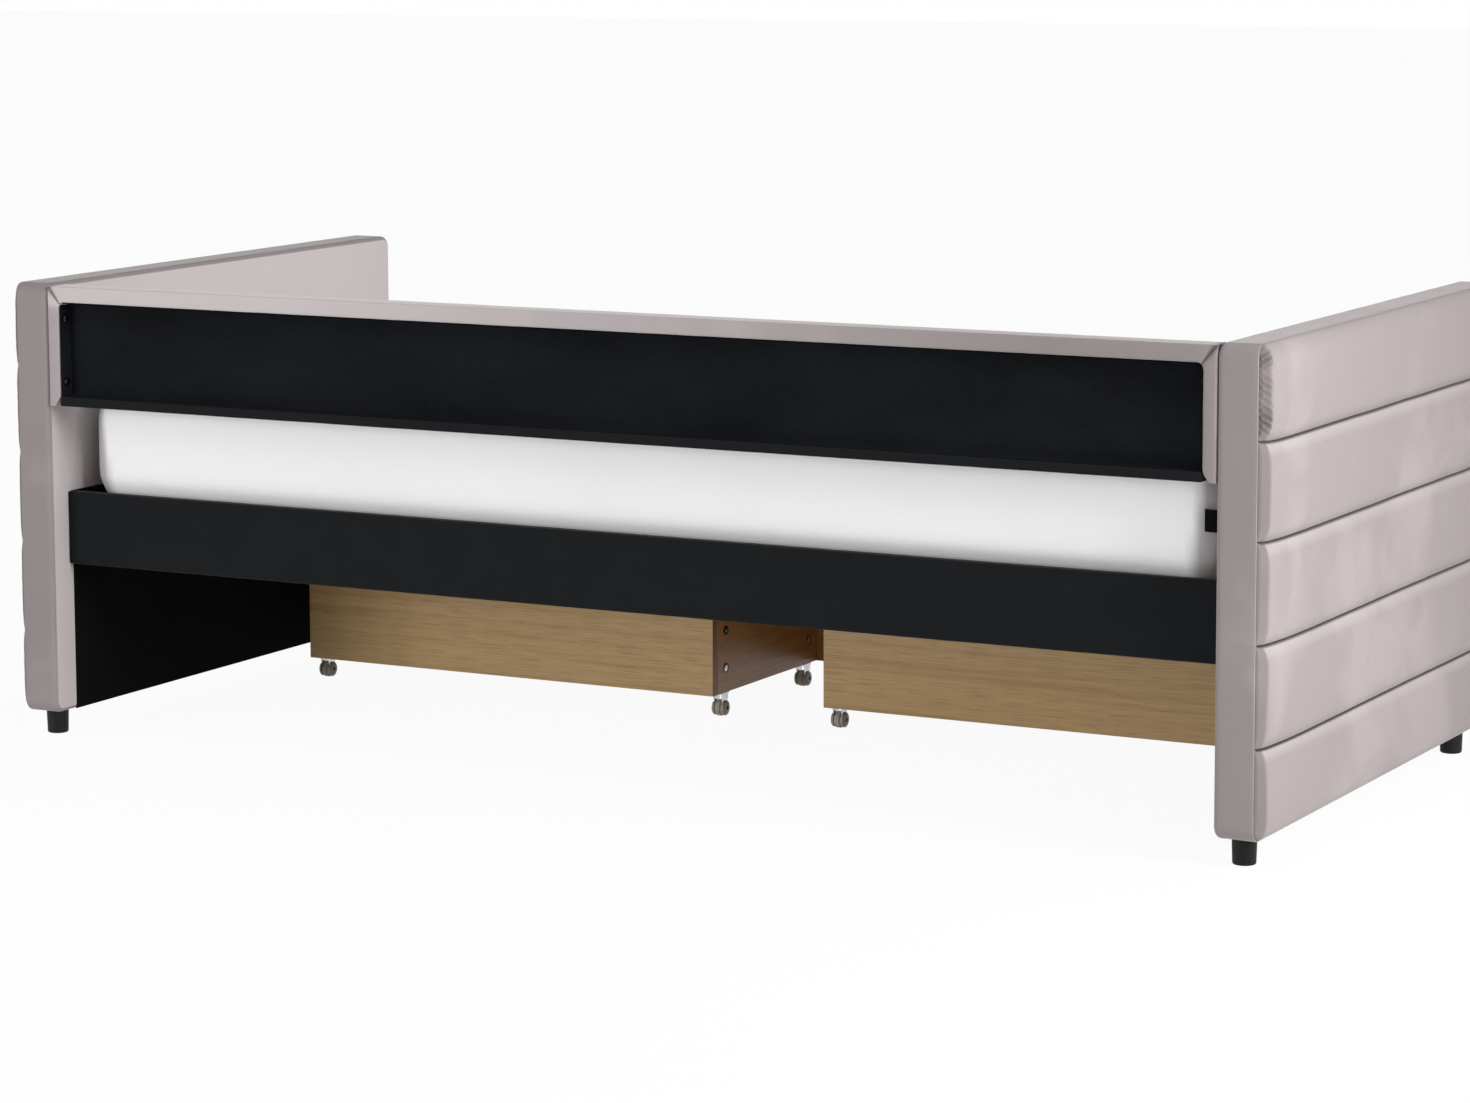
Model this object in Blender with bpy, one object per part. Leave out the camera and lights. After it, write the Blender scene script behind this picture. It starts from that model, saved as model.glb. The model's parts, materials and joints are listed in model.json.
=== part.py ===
"""A storage daybed: two channelled end panels, a low backrest, a slatted bed base with its mattress,
and two drawers that roll out to the front on fixed casters.

Lengths are in metres. The front is at -Y and the back at +Y, the floor is at z = 0, and the origin
is on the floor under the middle. Left (-X) and right (+X) are as seen from the front.
"""

import math

import bmesh
import bpy
from mathutils import Matrix, Vector

# Fits that every piece shares
GAP = 0.0003
OVERRUN = 0.003
MERGE_DISTANCE = 0.000001

# Mattress
MATTRESS_LENGTH = 2.000
MATTRESS_WIDTH = 0.900
MATTRESS_HEIGHT = 0.198
MATTRESS_END_CLEARANCE = 0.015
MATTRESS_SIDE_CLEARANCE = 0.003
MATTRESS_SINK = 0.0255
MATTRESS_CORNER_RADIUS = 0.060
MATTRESS_RIM_RADIUS = 0.030
MATTRESS_CROWN = 0.006
MATTRESS_DRAW_IN = 0.004
TAG_WIDTH = 0.018
TAG_HEIGHT = 0.029
TAG_THICKNESS = 0.0012
TAG_BASE_HEIGHT = 0.090
TAG_SEAT = 0.0004
TAG_LEAN = math.radians(30)

# End panels
END_PANEL_HEIGHT = 0.710
END_CORE_THICKNESS = 0.055
END_CORNER_RADIUS = 0.020
END_EDGE_RADIUS = 0.009
COVER_EDGE_THICKNESS = 0.007
COVER_SEAM_THICKNESS = 0.0085
COVER_ROUNDING = 0.028
CHANNEL_COUNT = 5
CHANNEL_CROWN = 0.0115
LINING_THICKNESS = 0.002
LINING_BORDER = 0.055

# Feet
FOOT_HEIGHT = 0.040
FOOT_TOP_RADIUS = 0.0184
FOOT_BOTTOM_RADIUS = 0.0174
FOOT_ROUNDING = 0.003
FOOT_CHAMFER = 0.001
REAR_FOOT_SETBACK = 0.045
FRONT_FOOT_SETBACK = 0.094
FOOT_OUTER_DISTANCE = 0.0234
STUD_RADIUS = 0.004
STUD_LENGTH = 0.022

# Rails and slatted base
REAR_RAIL_INSET = 0.044
REAR_RAIL_THICKNESS = 0.020
FRONT_RAIL_THICKNESS = 0.065
RAIL_BOTTOM_HEIGHT = 0.284
RAIL_HEIGHT = 0.121
REAR_RAIL_EDGE_RADIUS = 0.004
FRONT_RAIL_EDGE_RADIUS = 0.008
LEDGER_WIDTH = 0.025
LEDGER_HEIGHT = 0.030
LEDGER_EDGE_RADIUS = 0.002
SLAT_COUNT = 13
SLAT_WIDTH = 0.070
SLAT_THICKNESS = 0.012
SLAT_END_MARGIN = 0.018
SLAT_END_CLEARANCE = 0.003
TAPE_WIDTH = 0.028
TAPE_THICKNESS = 0.0015
TAPE_SPREAD = 0.560
BRACKET_LEG = 0.045
BRACKET_HEIGHT = 0.040
BRACKET_THICKNESS = 0.003
BRACKET_RISE = 0.006

# Backrest
BACKREST_HEIGHT = 0.196
BACKREST_DROP = 0.003
BACKREST_FRAME_DEPTH = 0.045
BACKREST_TOP_THICKNESS = 0.0265
BACKREST_END_THICKNESS = 0.0215
BACKREST_BOTTOM_THICKNESS = 0.015
BACKREST_EDGE_RADIUS = 0.005
BACKREST_BOTTOM_EDGE_RADIUS = 0.0025
BACKREST_TOP_RADIUS = 0.010
BACKREST_PANEL_THICKNESS = 0.012
BACKREST_LINING_THICKNESS = 0.0015
BACKREST_LINING_SETBACK = 0.003
BACKREST_PAD_RIM_RADIUS = 0.007
BACKREST_PAD_CORNER_RADIUS = 0.006
BACKREST_PAD_CROWN = 0.004
BOLT_HEAD_RADIUS = 0.007
BOLT_HEAD_HEIGHT = 0.0045
BOLT_HEAD_CROWN_RADIUS = 0.005
BOLT_HEAD_CROWN = 0.0025
BOLT_SHANK_RADIUS = 0.003
BOLT_SHANK_LENGTH = 0.055
BOLT_SOCKET_RADIUS = 0.0025
BOLT_SOCKET_DEPTH = 0.0028
BOLT_SETBACK = 0.016
BOLT_TOP_MARGIN = 0.0275
BOLT_BOTTOM_MARGIN = 0.024

# Drawers
DRAWER_SIDE_CLEARANCE = 0.008
DRAWER_TOP_CLEARANCE = 0.005
DRAWER_PAD_THICKNESS = 0.0105
DRAWER_PAD_WRAP = 0.003
DRAWER_PAD_RADIUS = 0.009
DRAWER_BOARD_THICKNESS = 0.015
DRAWER_BOARD_RADIUS = 0.0008
DRAWER_BOX_WIDTH = 0.805
DRAWER_BOX_DEPTH = 0.380
DRAWER_BOX_OFFSET = 0.025
DRAWER_BOX_HEIGHT = 0.150
DRAWER_BASE_THICKNESS = 0.003
DRAWER_BASE_RISE = 0.012
DRAWER_GROOVE_DEPTH = 0.006
FITTING_RADIUS = 0.005
FITTING_DEPTH = 0.011
FITTING_END_DISTANCE = 0.030
FITTING_LOW_HEIGHT = 0.042
FITTING_SPACING = 0.0635

# Casters
CASTER_HEIGHT = 0.040
WHEEL_RADIUS = 0.014
WHEEL_WIDTH = 0.013
WHEEL_SHOULDER = 0.003
WHEEL_HUB_RADIUS = 0.0052
WHEEL_RIM_RADIUS = 0.0095
WHEEL_DISH_DEPTH = 0.0015
WHEEL_CLEARANCE = 0.0006
AXLE_RADIUS = 0.002
AXLE_HEAD_RADIUS = 0.0032
AXLE_HEAD_HEIGHT = 0.001
AXLE_RUNNING_GAP = 0.0003
FORK_THICKNESS = 0.0015
FORK_PLATE_LENGTH = 0.030
FORK_LEG_WIDTH = 0.024
FORK_TIP_RADIUS = 0.0055
CASTER_SIDE_INSET = 0.009
CASTER_REAR_DISTANCE = 0.043
CASTER_FRONT_DISTANCE = 0.034

# Levels of detail
ROUND_STEPS = 24
WHEEL_STEPS = 18
SMALL_ROUND_STEPS = 16
CORNER_STEPS = 6
FOOT_ROUNDING_STEPS = 3
LEG_STEPS = 6

# Shapes of the upholstery, as shares of the sizes above
CHANNEL_STATION_SHARES = (-1.0, -0.84, -0.5, 0.0, 0.5, 0.84)
ROUNDING_STATION_SHARES = (0.0, 0.12, 0.35, 0.65, 1.0)
DRAW_IN_STATION_SHARES = (0.2, 0.4, 0.5, 0.6, 0.8)
CROWN_RING_SHARES = ((0.12, 0.45), (0.3, 0.8), (0.55, 1.0))
RIM_ANGLE_SHARES = (0.0, 0.3, 0.65, 1.0)
LEAST_CORNER_SHARE = 0.5
MOST_ROUNDING_SHARE = 0.3

# Places worked out from the sizes
INNER_HALF = MATTRESS_LENGTH / 2 + MATTRESS_END_CLEARANCE
CORE_OUTER = INNER_HALF + END_CORE_THICKNESS
FOOT_X = CORE_OUTER - FOOT_OUTER_DISTANCE
INNER_DEPTH = MATTRESS_WIDTH + 2 * MATTRESS_SIDE_CLEARANCE
DEPTH = REAR_RAIL_INSET + REAR_RAIL_THICKNESS + INNER_DEPTH + FRONT_RAIL_THICKNESS
BACK = DEPTH / 2
FRONT = -BACK
FOOT_PLACES = (("rear", BACK - REAR_FOOT_SETBACK), ("front", FRONT + FRONT_FOOT_SETBACK))
REAR_RAIL_BACK = BACK - REAR_RAIL_INSET
REAR_RAIL_FRONT = REAR_RAIL_BACK - REAR_RAIL_THICKNESS
FRONT_RAIL_BACK = FRONT + FRONT_RAIL_THICKNESS
END_TOP = FOOT_HEIGHT + END_PANEL_HEIGHT
RAIL_TOP = RAIL_BOTTOM_HEIGHT + RAIL_HEIGHT
MATTRESS_BASE = RAIL_TOP - MATTRESS_SINK
SLAT_TOP = MATTRESS_BASE - GAP - TAPE_THICKNESS
SLAT_BASE = SLAT_TOP - SLAT_THICKNESS
LEDGER_TOP = SLAT_BASE - GAP
BACKREST_TOP = END_TOP - BACKREST_DROP
BACKREST_BASE = BACKREST_TOP - BACKREST_HEIGHT
BACKREST_FRAME_FRONT = BACK - BACKREST_FRAME_DEPTH
BACKREST_INNER_HALF = INNER_HALF - GAP - BACKREST_END_THICKNESS
BACKREST_CAVITY_TOP = BACKREST_TOP - BACKREST_TOP_THICKNESS
BACKREST_CAVITY_BASE = BACKREST_BASE + BACKREST_BOTTOM_THICKNESS
DRAWER_BASE = CASTER_HEIGHT
DRAWER_FRONT_WIDTH = (2 * INNER_HALF - 3 * DRAWER_SIDE_CLEARANCE) / 2
DRAWER_CENTRE = (DRAWER_SIDE_CLEARANCE + DRAWER_FRONT_WIDTH) / 2
DRAWER_FRONT_TOP = RAIL_BOTTOM_HEIGHT - DRAWER_TOP_CLEARANCE
DRAWER_FRONT_INNER = FRONT + DRAWER_PAD_THICKNESS + GAP + DRAWER_BOARD_THICKNESS
DRAWER_BACK = DRAWER_FRONT_INNER + DRAWER_BOX_DEPTH
MATTRESS_MIDDLE = (FRONT_RAIL_BACK + REAR_RAIL_FRONT) / 2
SIDES = (("left", -1), ("right", 1))

FINISHES = {
    "velvet": ((0.56, 0.49, 0.48), 0.85, 0.0),
    "mattress_cover": ((0.88, 0.88, 0.90), 0.9, 0.0),
    "tag_cloth": ((0.02, 0.02, 0.022), 0.8, 0.0),
    "black_cloth": ((0.012, 0.013, 0.014), 0.9, 0.0),
    "black_lining": ((0.006, 0.006, 0.007), 0.95, 0.0),
    "oak_foil": ((0.36, 0.25, 0.14), 0.45, 0.0),
    "brown_foil": ((0.14, 0.07, 0.025), 0.35, 0.0),
    "hardboard": ((0.30, 0.20, 0.11), 0.6, 0.0),
    "pine": ((0.66, 0.50, 0.31), 0.55, 0.0),
    "black_plastic": ((0.012, 0.012, 0.013), 0.4, 0.0),
    "black_steel": ((0.02, 0.02, 0.022), 0.45, 1.0),
    "zinc_steel": ((0.62, 0.62, 0.63), 0.32, 1.0),
    "grey_rubber": ((0.17, 0.165, 0.15), 0.5, 0.0),
}


def clear_scene():
    for old in list(bpy.data.objects):
        bpy.data.objects.remove(old, do_unlink=True)


def finish_material(finish):
    """The Principled material of one finish, made once."""
    found = bpy.data.materials.get(finish)
    if found:
        return found
    colour, roughness, metallic = FINISHES[finish]
    made = bpy.data.materials.new(finish)
    made.use_nodes = True
    shader = made.node_tree.nodes["Principled BSDF"]
    shader.inputs["Base Color"].default_value = (*colour, 1.0)
    shader.inputs["Roughness"].default_value = roughness
    shader.inputs["Metallic"].default_value = metallic
    return made


def add_object(name, mesh, finish, smooth_angle=math.radians(35)):
    """Puts a mesh in the scene as one piece with its finish."""
    mesh.shade_smooth()
    mesh.set_sharp_from_angle(angle=smooth_angle)
    piece = bpy.data.objects.new(name, mesh)
    if not mesh.materials:
        mesh.materials.append(finish_material(finish))
    bpy.context.scene.collection.objects.link(piece)
    return piece


def mesh_from(bm, name):
    """Turns a bmesh into a mesh whose faces point outwards."""
    bmesh.ops.recalc_face_normals(bm, faces=bm.faces)
    mesh = bpy.data.meshes.new(name)
    bm.to_mesh(mesh)
    bm.free()
    return mesh


def box_mesh(name, low, high):
    """A box between two corners."""
    bm = bmesh.new()
    bmesh.ops.create_cube(bm, size=1)
    size = Vector(high) - Vector(low)
    centre = (Vector(high) + Vector(low)) / 2
    bmesh.ops.scale(bm, vec=size, verts=bm.verts)
    bmesh.ops.translate(bm, vec=centre, verts=bm.verts)
    return mesh_from(bm, name)


def round_edges(piece, radius, segments=2):
    """Rounds every sharp edge of a piece."""
    bevel = piece.modifiers.new("rounded_edges", "BEVEL")
    bevel.width = radius
    bevel.segments = segments
    bevel.limit_method = "ANGLE"
    return piece


def board(name, low, high, finish, radius, segments=2):
    """A rectangular board or covered batten with rounded edges, no rounder than its thickness allows."""
    least = min(b - a for a, b in zip(low, high))
    piece = add_object(name, box_mesh(name, low, high), finish)
    return round_edges(piece, min(radius, least * MOST_ROUNDING_SHARE), segments)


def as_helper(piece):
    piece.hide_render = True
    piece.display_type = "WIRE"
    return piece


def cut(piece, helper):
    """Takes a helper's shape out of a piece."""
    boolean = piece.modifiers.new("cut_" + helper.name, "BOOLEAN")
    boolean.operation = "DIFFERENCE"
    boolean.object = as_helper(helper)


def join(piece, helper):
    """Fuses a helper's shape with a piece."""
    boolean = piece.modifiers.new("join_" + helper.name, "BOOLEAN")
    boolean.operation = "UNION"
    boolean.object = as_helper(helper)


def bake(piece):
    """The mesh of a piece with its modifiers applied, for copies to share."""
    graph = bpy.context.evaluated_depsgraph_get()
    return bpy.data.meshes.new_from_object(piece.evaluated_get(graph))


def cylinder_between(name, start, end, radius, steps=SMALL_ROUND_STEPS):
    """A plain round helper between two points."""
    start, end = Vector(start), Vector(end)
    bm = bmesh.new()
    bmesh.ops.create_cone(
        bm, cap_ends=True, segments=steps, radius1=radius, radius2=radius, depth=(end - start).length
    )
    turn = (end - start).to_track_quat("Z", "Y").to_matrix().to_4x4()
    bmesh.ops.transform(bm, matrix=Matrix.Translation((start + end) / 2) @ turn, verts=bm.verts)
    return add_object(name, mesh_from(bm, name), "zinc_steel")


def turned_mesh(name, profile, steps, closed=False):
    """Spins an outline of (radius, height) points about Z. A closed outline makes a ring."""
    bm = bmesh.new()
    points = [bm.verts.new((radius, 0, height)) for radius, height in profile]
    pairs = list(zip(points, points[1:]))
    if closed:
        pairs.append((points[-1], points[0]))
    edges = [bm.edges.new(pair) for pair in pairs]
    bmesh.ops.spin(
        bm,
        geom=points + edges,
        cent=(0, 0, 0),
        axis=(0, 0, 1),
        angle=2 * math.pi,
        steps=steps,
        use_merge=True,
    )
    bmesh.ops.remove_doubles(bm, verts=bm.verts, dist=MERGE_DISTANCE)
    return mesh_from(bm, name)


def rounded_outline(half_a, half_b, radius, steps, stations=()):
    """Points round a rectangle with round corners, with extra points along each straight side."""
    inner_a, inner_b = half_a - radius, half_b - radius
    corners = ((inner_a, inner_b, 0), (-inner_a, inner_b, 1), (-inner_a, -inner_b, 2), (inner_a, -inner_b, 3))
    points = []
    for index, (a, b, quarter) in enumerate(corners):
        for step in range(steps + 1):
            angle = (quarter + step / steps) * math.pi / 2
            points.append((a + radius * math.cos(angle), b + radius * math.sin(angle)))
        next_a, next_b, next_quarter = corners[(index + 1) % len(corners)]
        start = points[-1]
        end_angle = next_quarter * math.pi / 2
        end = (next_a + radius * math.cos(end_angle), next_b + radius * math.sin(end_angle))
        for share in stations:
            points.append(tuple(s + share * (e - s) for s, e in zip(start, end)))
    return points


def loft(bm, rings):
    """Skins rings of equally many points, and closes both ends."""
    rows = [[bm.verts.new(point) for point in ring] for ring in rings]
    for lower, upper in zip(rows, rows[1:]):
        for index in range(len(lower)):
            after = (index + 1) % len(lower)
            bm.faces.new((lower[index], lower[after], upper[after], upper[index]))
    bm.faces.new(reversed(rows[0]))
    bm.faces.new(rows[-1])


def cushion_mesh(name, sizes, corner_radius, rim_radius, crown, draw_in):
    """A closed cushion that lies on z = 0, with a crowned top and sides that pull in between its corners."""
    length, width, height = sizes

    def ring(inset, level):
        half_a, half_b = length / 2 - inset, width / 2 - inset
        radius = max(corner_radius - inset, corner_radius * LEAST_CORNER_SHARE)
        points = []
        for a, b in rounded_outline(half_a, half_b, radius, CORNER_STEPS, DRAW_IN_STATION_SHARES):
            pull_a = draw_in * math.cos(math.pi * b / width) * (a / half_a) ** 3
            pull_b = draw_in * math.cos(math.pi * a / length) * (b / half_b) ** 3
            points.append((a - pull_a, b - pull_b, level))
        return points

    side_height = height - crown
    rings = []
    for share in RIM_ANGLE_SHARES:
        angle = share * math.pi / 2
        rings.append(ring(rim_radius * (1 - math.sin(angle)), rim_radius * (1 - math.cos(angle))))
    for share in reversed(RIM_ANGLE_SHARES):
        angle = share * math.pi / 2
        level = side_height - rim_radius * (1 - math.cos(angle))
        rings.append(ring(rim_radius * (1 - math.sin(angle)), level))
    for inset_share, crown_share in CROWN_RING_SHARES:
        inset = rim_radius + inset_share * (width / 2 - rim_radius)
        rings.append(ring(inset, side_height + crown * crown_share))
    bm = bmesh.new()
    loft(bm, rings)
    return mesh_from(bm, name)


def end_outline():
    """The end panel's outline seen from the side, as (y, z) points."""
    half_height = END_PANEL_HEIGHT / 2
    middle = FOOT_HEIGHT + half_height
    return [(y, middle + z) for y, z in rounded_outline(BACK, half_height, END_CORNER_RADIUS, CORNER_STEPS)]


def end_core(side, sign):
    """The upholstered body of an end panel: plain velvet on its inner face and round its edges."""
    bm = bmesh.new()
    inner, outer = sign * INNER_HALF, sign * CORE_OUTER
    loft(bm, [[(x, y, z) for y, z in end_outline()] for x in (inner, outer)])
    rim = [edge for edge in bm.edges if all(abs(vert.co.x - inner) < GAP for vert in edge.verts)]
    rounding = min(END_EDGE_RADIUS, END_CORNER_RADIUS - GAP)
    bmesh.ops.bevel(bm, geom=rim, offset=rounding, segments=3, profile=0.5, affect="EDGES")
    core = add_object(side + "_end_panel", mesh_from(bm, side + "_end_panel"), "velvet")
    recess_inner = sign * (INNER_HALF - OVERRUN)
    recess_outer = sign * (INNER_HALF + LINING_THICKNESS + GAP)
    recess = box_mesh(
        side + "_lining_recess",
        (min(recess_inner, recess_outer), FRONT + LINING_BORDER, FOOT_HEIGHT - OVERRUN),
        (max(recess_inner, recess_outer), BACK - LINING_BORDER, RAIL_TOP),
    )
    cut(core, add_object(side + "_lining_recess", recess, "velvet"))
    for place, y in FOOT_PLACES:
        x = sign * FOOT_X
        start, end = (x, y, FOOT_HEIGHT - OVERRUN), (x, y, FOOT_HEIGHT + STUD_LENGTH)
        cut(core, cylinder_between(f"{side}_{place}_stud_hole", start, end, STUD_RADIUS + GAP))
    for place, z in bolt_heights():
        start = (sign * (INNER_HALF - OVERRUN), BACK - BOLT_SETBACK, z)
        end = (sign * bolt_end(), BACK - BOLT_SETBACK, z)
        hole = cylinder_between(f"{side}_{place}_panel_hole", start, end, BOLT_SHANK_RADIUS + GAP)
        cut(core, hole)


def channel_swell(share):
    """How far a channel stands out across its width, from 0 at its seams to 1 at its crest."""
    return 1 - share ** 4


def edge_swell(distance):
    """How far the cover has risen to its full thickness at a distance from its front or back edge."""
    share = min(distance / COVER_ROUNDING, 1)
    return math.sqrt(1 - (1 - share) ** 2)


def end_cover(side, sign):
    """The outer cover of an end panel: five padded channels between sewn seams, rounded in at the ends."""
    channel_height = END_PANEL_HEIGHT / CHANNEL_COUNT
    inner = CORE_OUTER + GAP
    from_edge = [share * COVER_ROUNDING for share in ROUNDING_STATION_SHARES]
    columns = [(FRONT + d, d) for d in from_edge] + [(BACK - d, d) for d in reversed(from_edge)]
    rows = []
    for channel in range(CHANNEL_COUNT):
        rows += [(channel, share) for share in CHANNEL_STATION_SHARES]
    rows.append((CHANNEL_COUNT - 1, 1.0))
    bm = bmesh.new()
    outer_face, inner_face = [], []
    for channel, share in rows:
        outer_row, inner_row = [], []
        for y, distance in columns:
            corner = max(END_CORNER_RADIUS - distance, 0)
            lost = END_CORNER_RADIUS - math.sqrt(END_CORNER_RADIUS ** 2 - corner ** 2)
            low = FOOT_HEIGHT + channel * channel_height
            high = low + channel_height
            low += lost if channel == 0 else 0
            high -= lost if channel == CHANNEL_COUNT - 1 else 0
            z = low + (high - low) * (1 + share) / 2
            full = COVER_SEAM_THICKNESS + CHANNEL_CROWN * channel_swell(share)
            thickness = COVER_EDGE_THICKNESS + (full - COVER_EDGE_THICKNESS) * edge_swell(distance)
            outer_row.append(bm.verts.new((sign * (inner + thickness), y, z)))
            inner_row.append(bm.verts.new((sign * inner, y, z)))
        outer_face.append(outer_row)
        inner_face.append(inner_row)
    last_row, last_column = len(rows) - 1, len(columns) - 1
    for row in range(last_row):
        for column in range(last_column):
            a, b = outer_face[row][column], outer_face[row][column + 1]
            c, d = outer_face[row + 1][column + 1], outer_face[row + 1][column]
            bm.faces.new((a, b, c, d))
    around = [(0, column) for column in range(last_column)]
    around += [(row, last_column) for row in range(last_row)]
    around += [(last_row, column) for column in range(last_column, 0, -1)]
    around += [(row, 0) for row in range(last_row, 0, -1)]
    for (row, column), (next_row, next_column) in zip(around, around[1:] + around[:1]):
        outer_pair = outer_face[next_row][next_column], outer_face[row][column]
        inner_pair = inner_face[row][column], inner_face[next_row][next_column]
        bm.faces.new((*outer_pair, *inner_pair))
    rim = [inner_face[row][column] for row, column in around]
    bm.faces.new(rim)
    loose = [vert for vert in bm.verts if not vert.link_faces]
    bmesh.ops.delete(bm, geom=loose, context="VERTS")
    add_object(side + "_end_cover", mesh_from(bm, side + "_end_cover"), "velvet", math.radians(50))


def end_lining(side, sign):
    """The black lining set into the lower inner face, where the drawers run."""
    inner, outer = sign * INNER_HALF, sign * (INNER_HALF + LINING_THICKNESS)
    low = (min(inner, outer), FRONT + LINING_BORDER + GAP, FOOT_HEIGHT + GAP)
    high = (max(inner, outer), BACK - LINING_BORDER - GAP, RAIL_TOP - GAP)
    name = side + "_end_lining"
    add_object(name, box_mesh(name, low, high), "black_lining")


def foot_mesh():
    """A tapered foot with the stud that screws into the panel above."""
    shoulder = FOOT_HEIGHT - GAP
    flat = FOOT_BOTTOM_RADIUS - FOOT_ROUNDING
    profile = [(0, 0)]
    for step in range(FOOT_ROUNDING_STEPS + 1):
        angle = step / FOOT_ROUNDING_STEPS * math.pi / 2
        profile.append((flat + FOOT_ROUNDING * math.sin(angle), FOOT_ROUNDING * (1 - math.cos(angle))))
    profile += [
        (FOOT_TOP_RADIUS, shoulder - FOOT_CHAMFER),
        (FOOT_TOP_RADIUS - FOOT_CHAMFER, shoulder),
        (STUD_RADIUS, shoulder),
        (STUD_RADIUS, FOOT_HEIGHT + STUD_LENGTH - FOOT_CHAMFER),
        (0, FOOT_HEIGHT + STUD_LENGTH - FOOT_CHAMFER),
    ]
    return turned_mesh("foot", profile, ROUND_STEPS)


def feet():
    mesh = foot_mesh()
    for side, sign in SIDES:
        for place, y in FOOT_PLACES:
            foot = add_object(f"{side}_{place}_foot", mesh, "black_plastic")
            foot.location = (sign * FOOT_X, y, 0)


def rails():
    """The covered front and rear rails, and the ledgers that carry the slats."""
    end = INNER_HALF - GAP
    board(
        "rear_rail",
        (-end, REAR_RAIL_FRONT, RAIL_BOTTOM_HEIGHT),
        (end, REAR_RAIL_BACK, RAIL_TOP),
        "black_cloth",
        REAR_RAIL_EDGE_RADIUS,
        3,
    )
    board(
        "front_rail",
        (-end, FRONT, RAIL_BOTTOM_HEIGHT),
        (end, FRONT_RAIL_BACK, RAIL_TOP),
        "velvet",
        FRONT_RAIL_EDGE_RADIUS,
        3,
    )
    ledger_base = LEDGER_TOP - LEDGER_HEIGHT
    board(
        "rear_ledger",
        (-end, REAR_RAIL_FRONT - GAP - LEDGER_WIDTH, ledger_base),
        (end, REAR_RAIL_FRONT - GAP, LEDGER_TOP),
        "pine",
        LEDGER_EDGE_RADIUS,
    )
    board(
        "front_ledger",
        (-end, FRONT_RAIL_BACK + GAP, ledger_base),
        (end, FRONT_RAIL_BACK + GAP + LEDGER_WIDTH, LEDGER_TOP),
        "pine",
        LEDGER_EDGE_RADIUS,
    )


def rail_bracket(name, corner_x, corner_y, toward_x, toward_y):
    """A folded angle bracket in the corner between a rail and an end panel."""
    t = BRACKET_THICKNESS
    outline = ((0, 0), (BRACKET_LEG, 0), (BRACKET_LEG, t), (t, t), (t, BRACKET_LEG), (0, BRACKET_LEG))
    points = [(corner_x + toward_x * a, corner_y + toward_y * b) for a, b in outline]
    low = RAIL_BOTTOM_HEIGHT + BRACKET_RISE
    bm = bmesh.new()
    loft(bm, [[(x, y, z) for x, y in points] for z in (low, low + BRACKET_HEIGHT)])
    add_object(name, mesh_from(bm, name), "black_steel")


def rail_brackets():
    for side, sign in SIDES:
        corner_x = sign * (INNER_HALF - GAP)
        rail_bracket(f"{side}_rear_bracket", corner_x, REAR_RAIL_FRONT - GAP, -sign, -1)
        rail_bracket(f"{side}_front_bracket", corner_x, FRONT_RAIL_BACK + GAP, -sign, 1)


def slat_base():
    """Pine slats from rail to rail, kept apart by two tapes that are fixed along them."""
    low_y = FRONT_RAIL_BACK + SLAT_END_CLEARANCE
    high_y = REAR_RAIL_FRONT - SLAT_END_CLEARANCE
    first = -INNER_HALF + SLAT_END_MARGIN
    last = INNER_HALF - SLAT_END_MARGIN - SLAT_WIDTH
    middle_y = (low_y + high_y) / 2
    tape_half = TAPE_WIDTH / 2
    tapes = []
    for index, offset in enumerate((-TAPE_SPREAD / 2, TAPE_SPREAD / 2)):
        low = (first, middle_y + offset - tape_half, SLAT_TOP - TAPE_THICKNESS)
        high = (last + SLAT_WIDTH, middle_y + offset + tape_half, SLAT_TOP + TAPE_THICKNESS)
        name = f"slat_tape_{index}"
        tapes.append(add_object(name, box_mesh(name, low, high), "pine"))
    bm = bmesh.new()
    for index in range(SLAT_COUNT):
        x = first + (last - first) * index / (SLAT_COUNT - 1)
        slat = box_mesh("slat", (x, low_y, SLAT_BASE), (x + SLAT_WIDTH, high_y, SLAT_TOP))
        bm.from_mesh(slat)
        bpy.data.meshes.remove(slat)
    base = add_object("slat_base", mesh_from(bm, "slat_base"), "pine")
    for tape in tapes:
        join(base, tape)


def backrest_frame():
    """The backrest's covered frame, its panel, and the black lining in its open back."""
    end = INNER_HALF - GAP
    board(
        "backrest_top_board",
        (-end, BACKREST_FRAME_FRONT, BACKREST_CAVITY_TOP),
        (end, BACK, BACKREST_TOP),
        "velvet",
        BACKREST_TOP_RADIUS,
        3,
    )
    for side, sign in SIDES:
        inner, outer = sign * BACKREST_INNER_HALF, sign * end
        piece = board(
            f"backrest_{side}_board",
            (min(inner, outer), BACKREST_FRAME_FRONT, BACKREST_BASE),
            (max(inner, outer), BACK, BACKREST_CAVITY_TOP - GAP),
            "velvet",
            BACKREST_EDGE_RADIUS,
        )
        bolt_holes(piece, side, sign)
    board(
        "backrest_bottom_board",
        (-BACKREST_INNER_HALF + GAP, BACKREST_FRAME_FRONT, BACKREST_BASE),
        (BACKREST_INNER_HALF - GAP, BACK, BACKREST_CAVITY_BASE),
        "black_cloth",
        BACKREST_BOTTOM_EDGE_RADIUS,
    )
    panel_low = (-BACKREST_INNER_HALF + GAP, BACKREST_FRAME_FRONT, BACKREST_CAVITY_BASE + GAP)
    panel_back = BACKREST_FRAME_FRONT + BACKREST_PANEL_THICKNESS
    panel_high = (BACKREST_INNER_HALF - GAP, panel_back, BACKREST_CAVITY_TOP - GAP)
    add_object("backrest_panel", box_mesh("backrest_panel", panel_low, panel_high), "hardboard")


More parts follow.
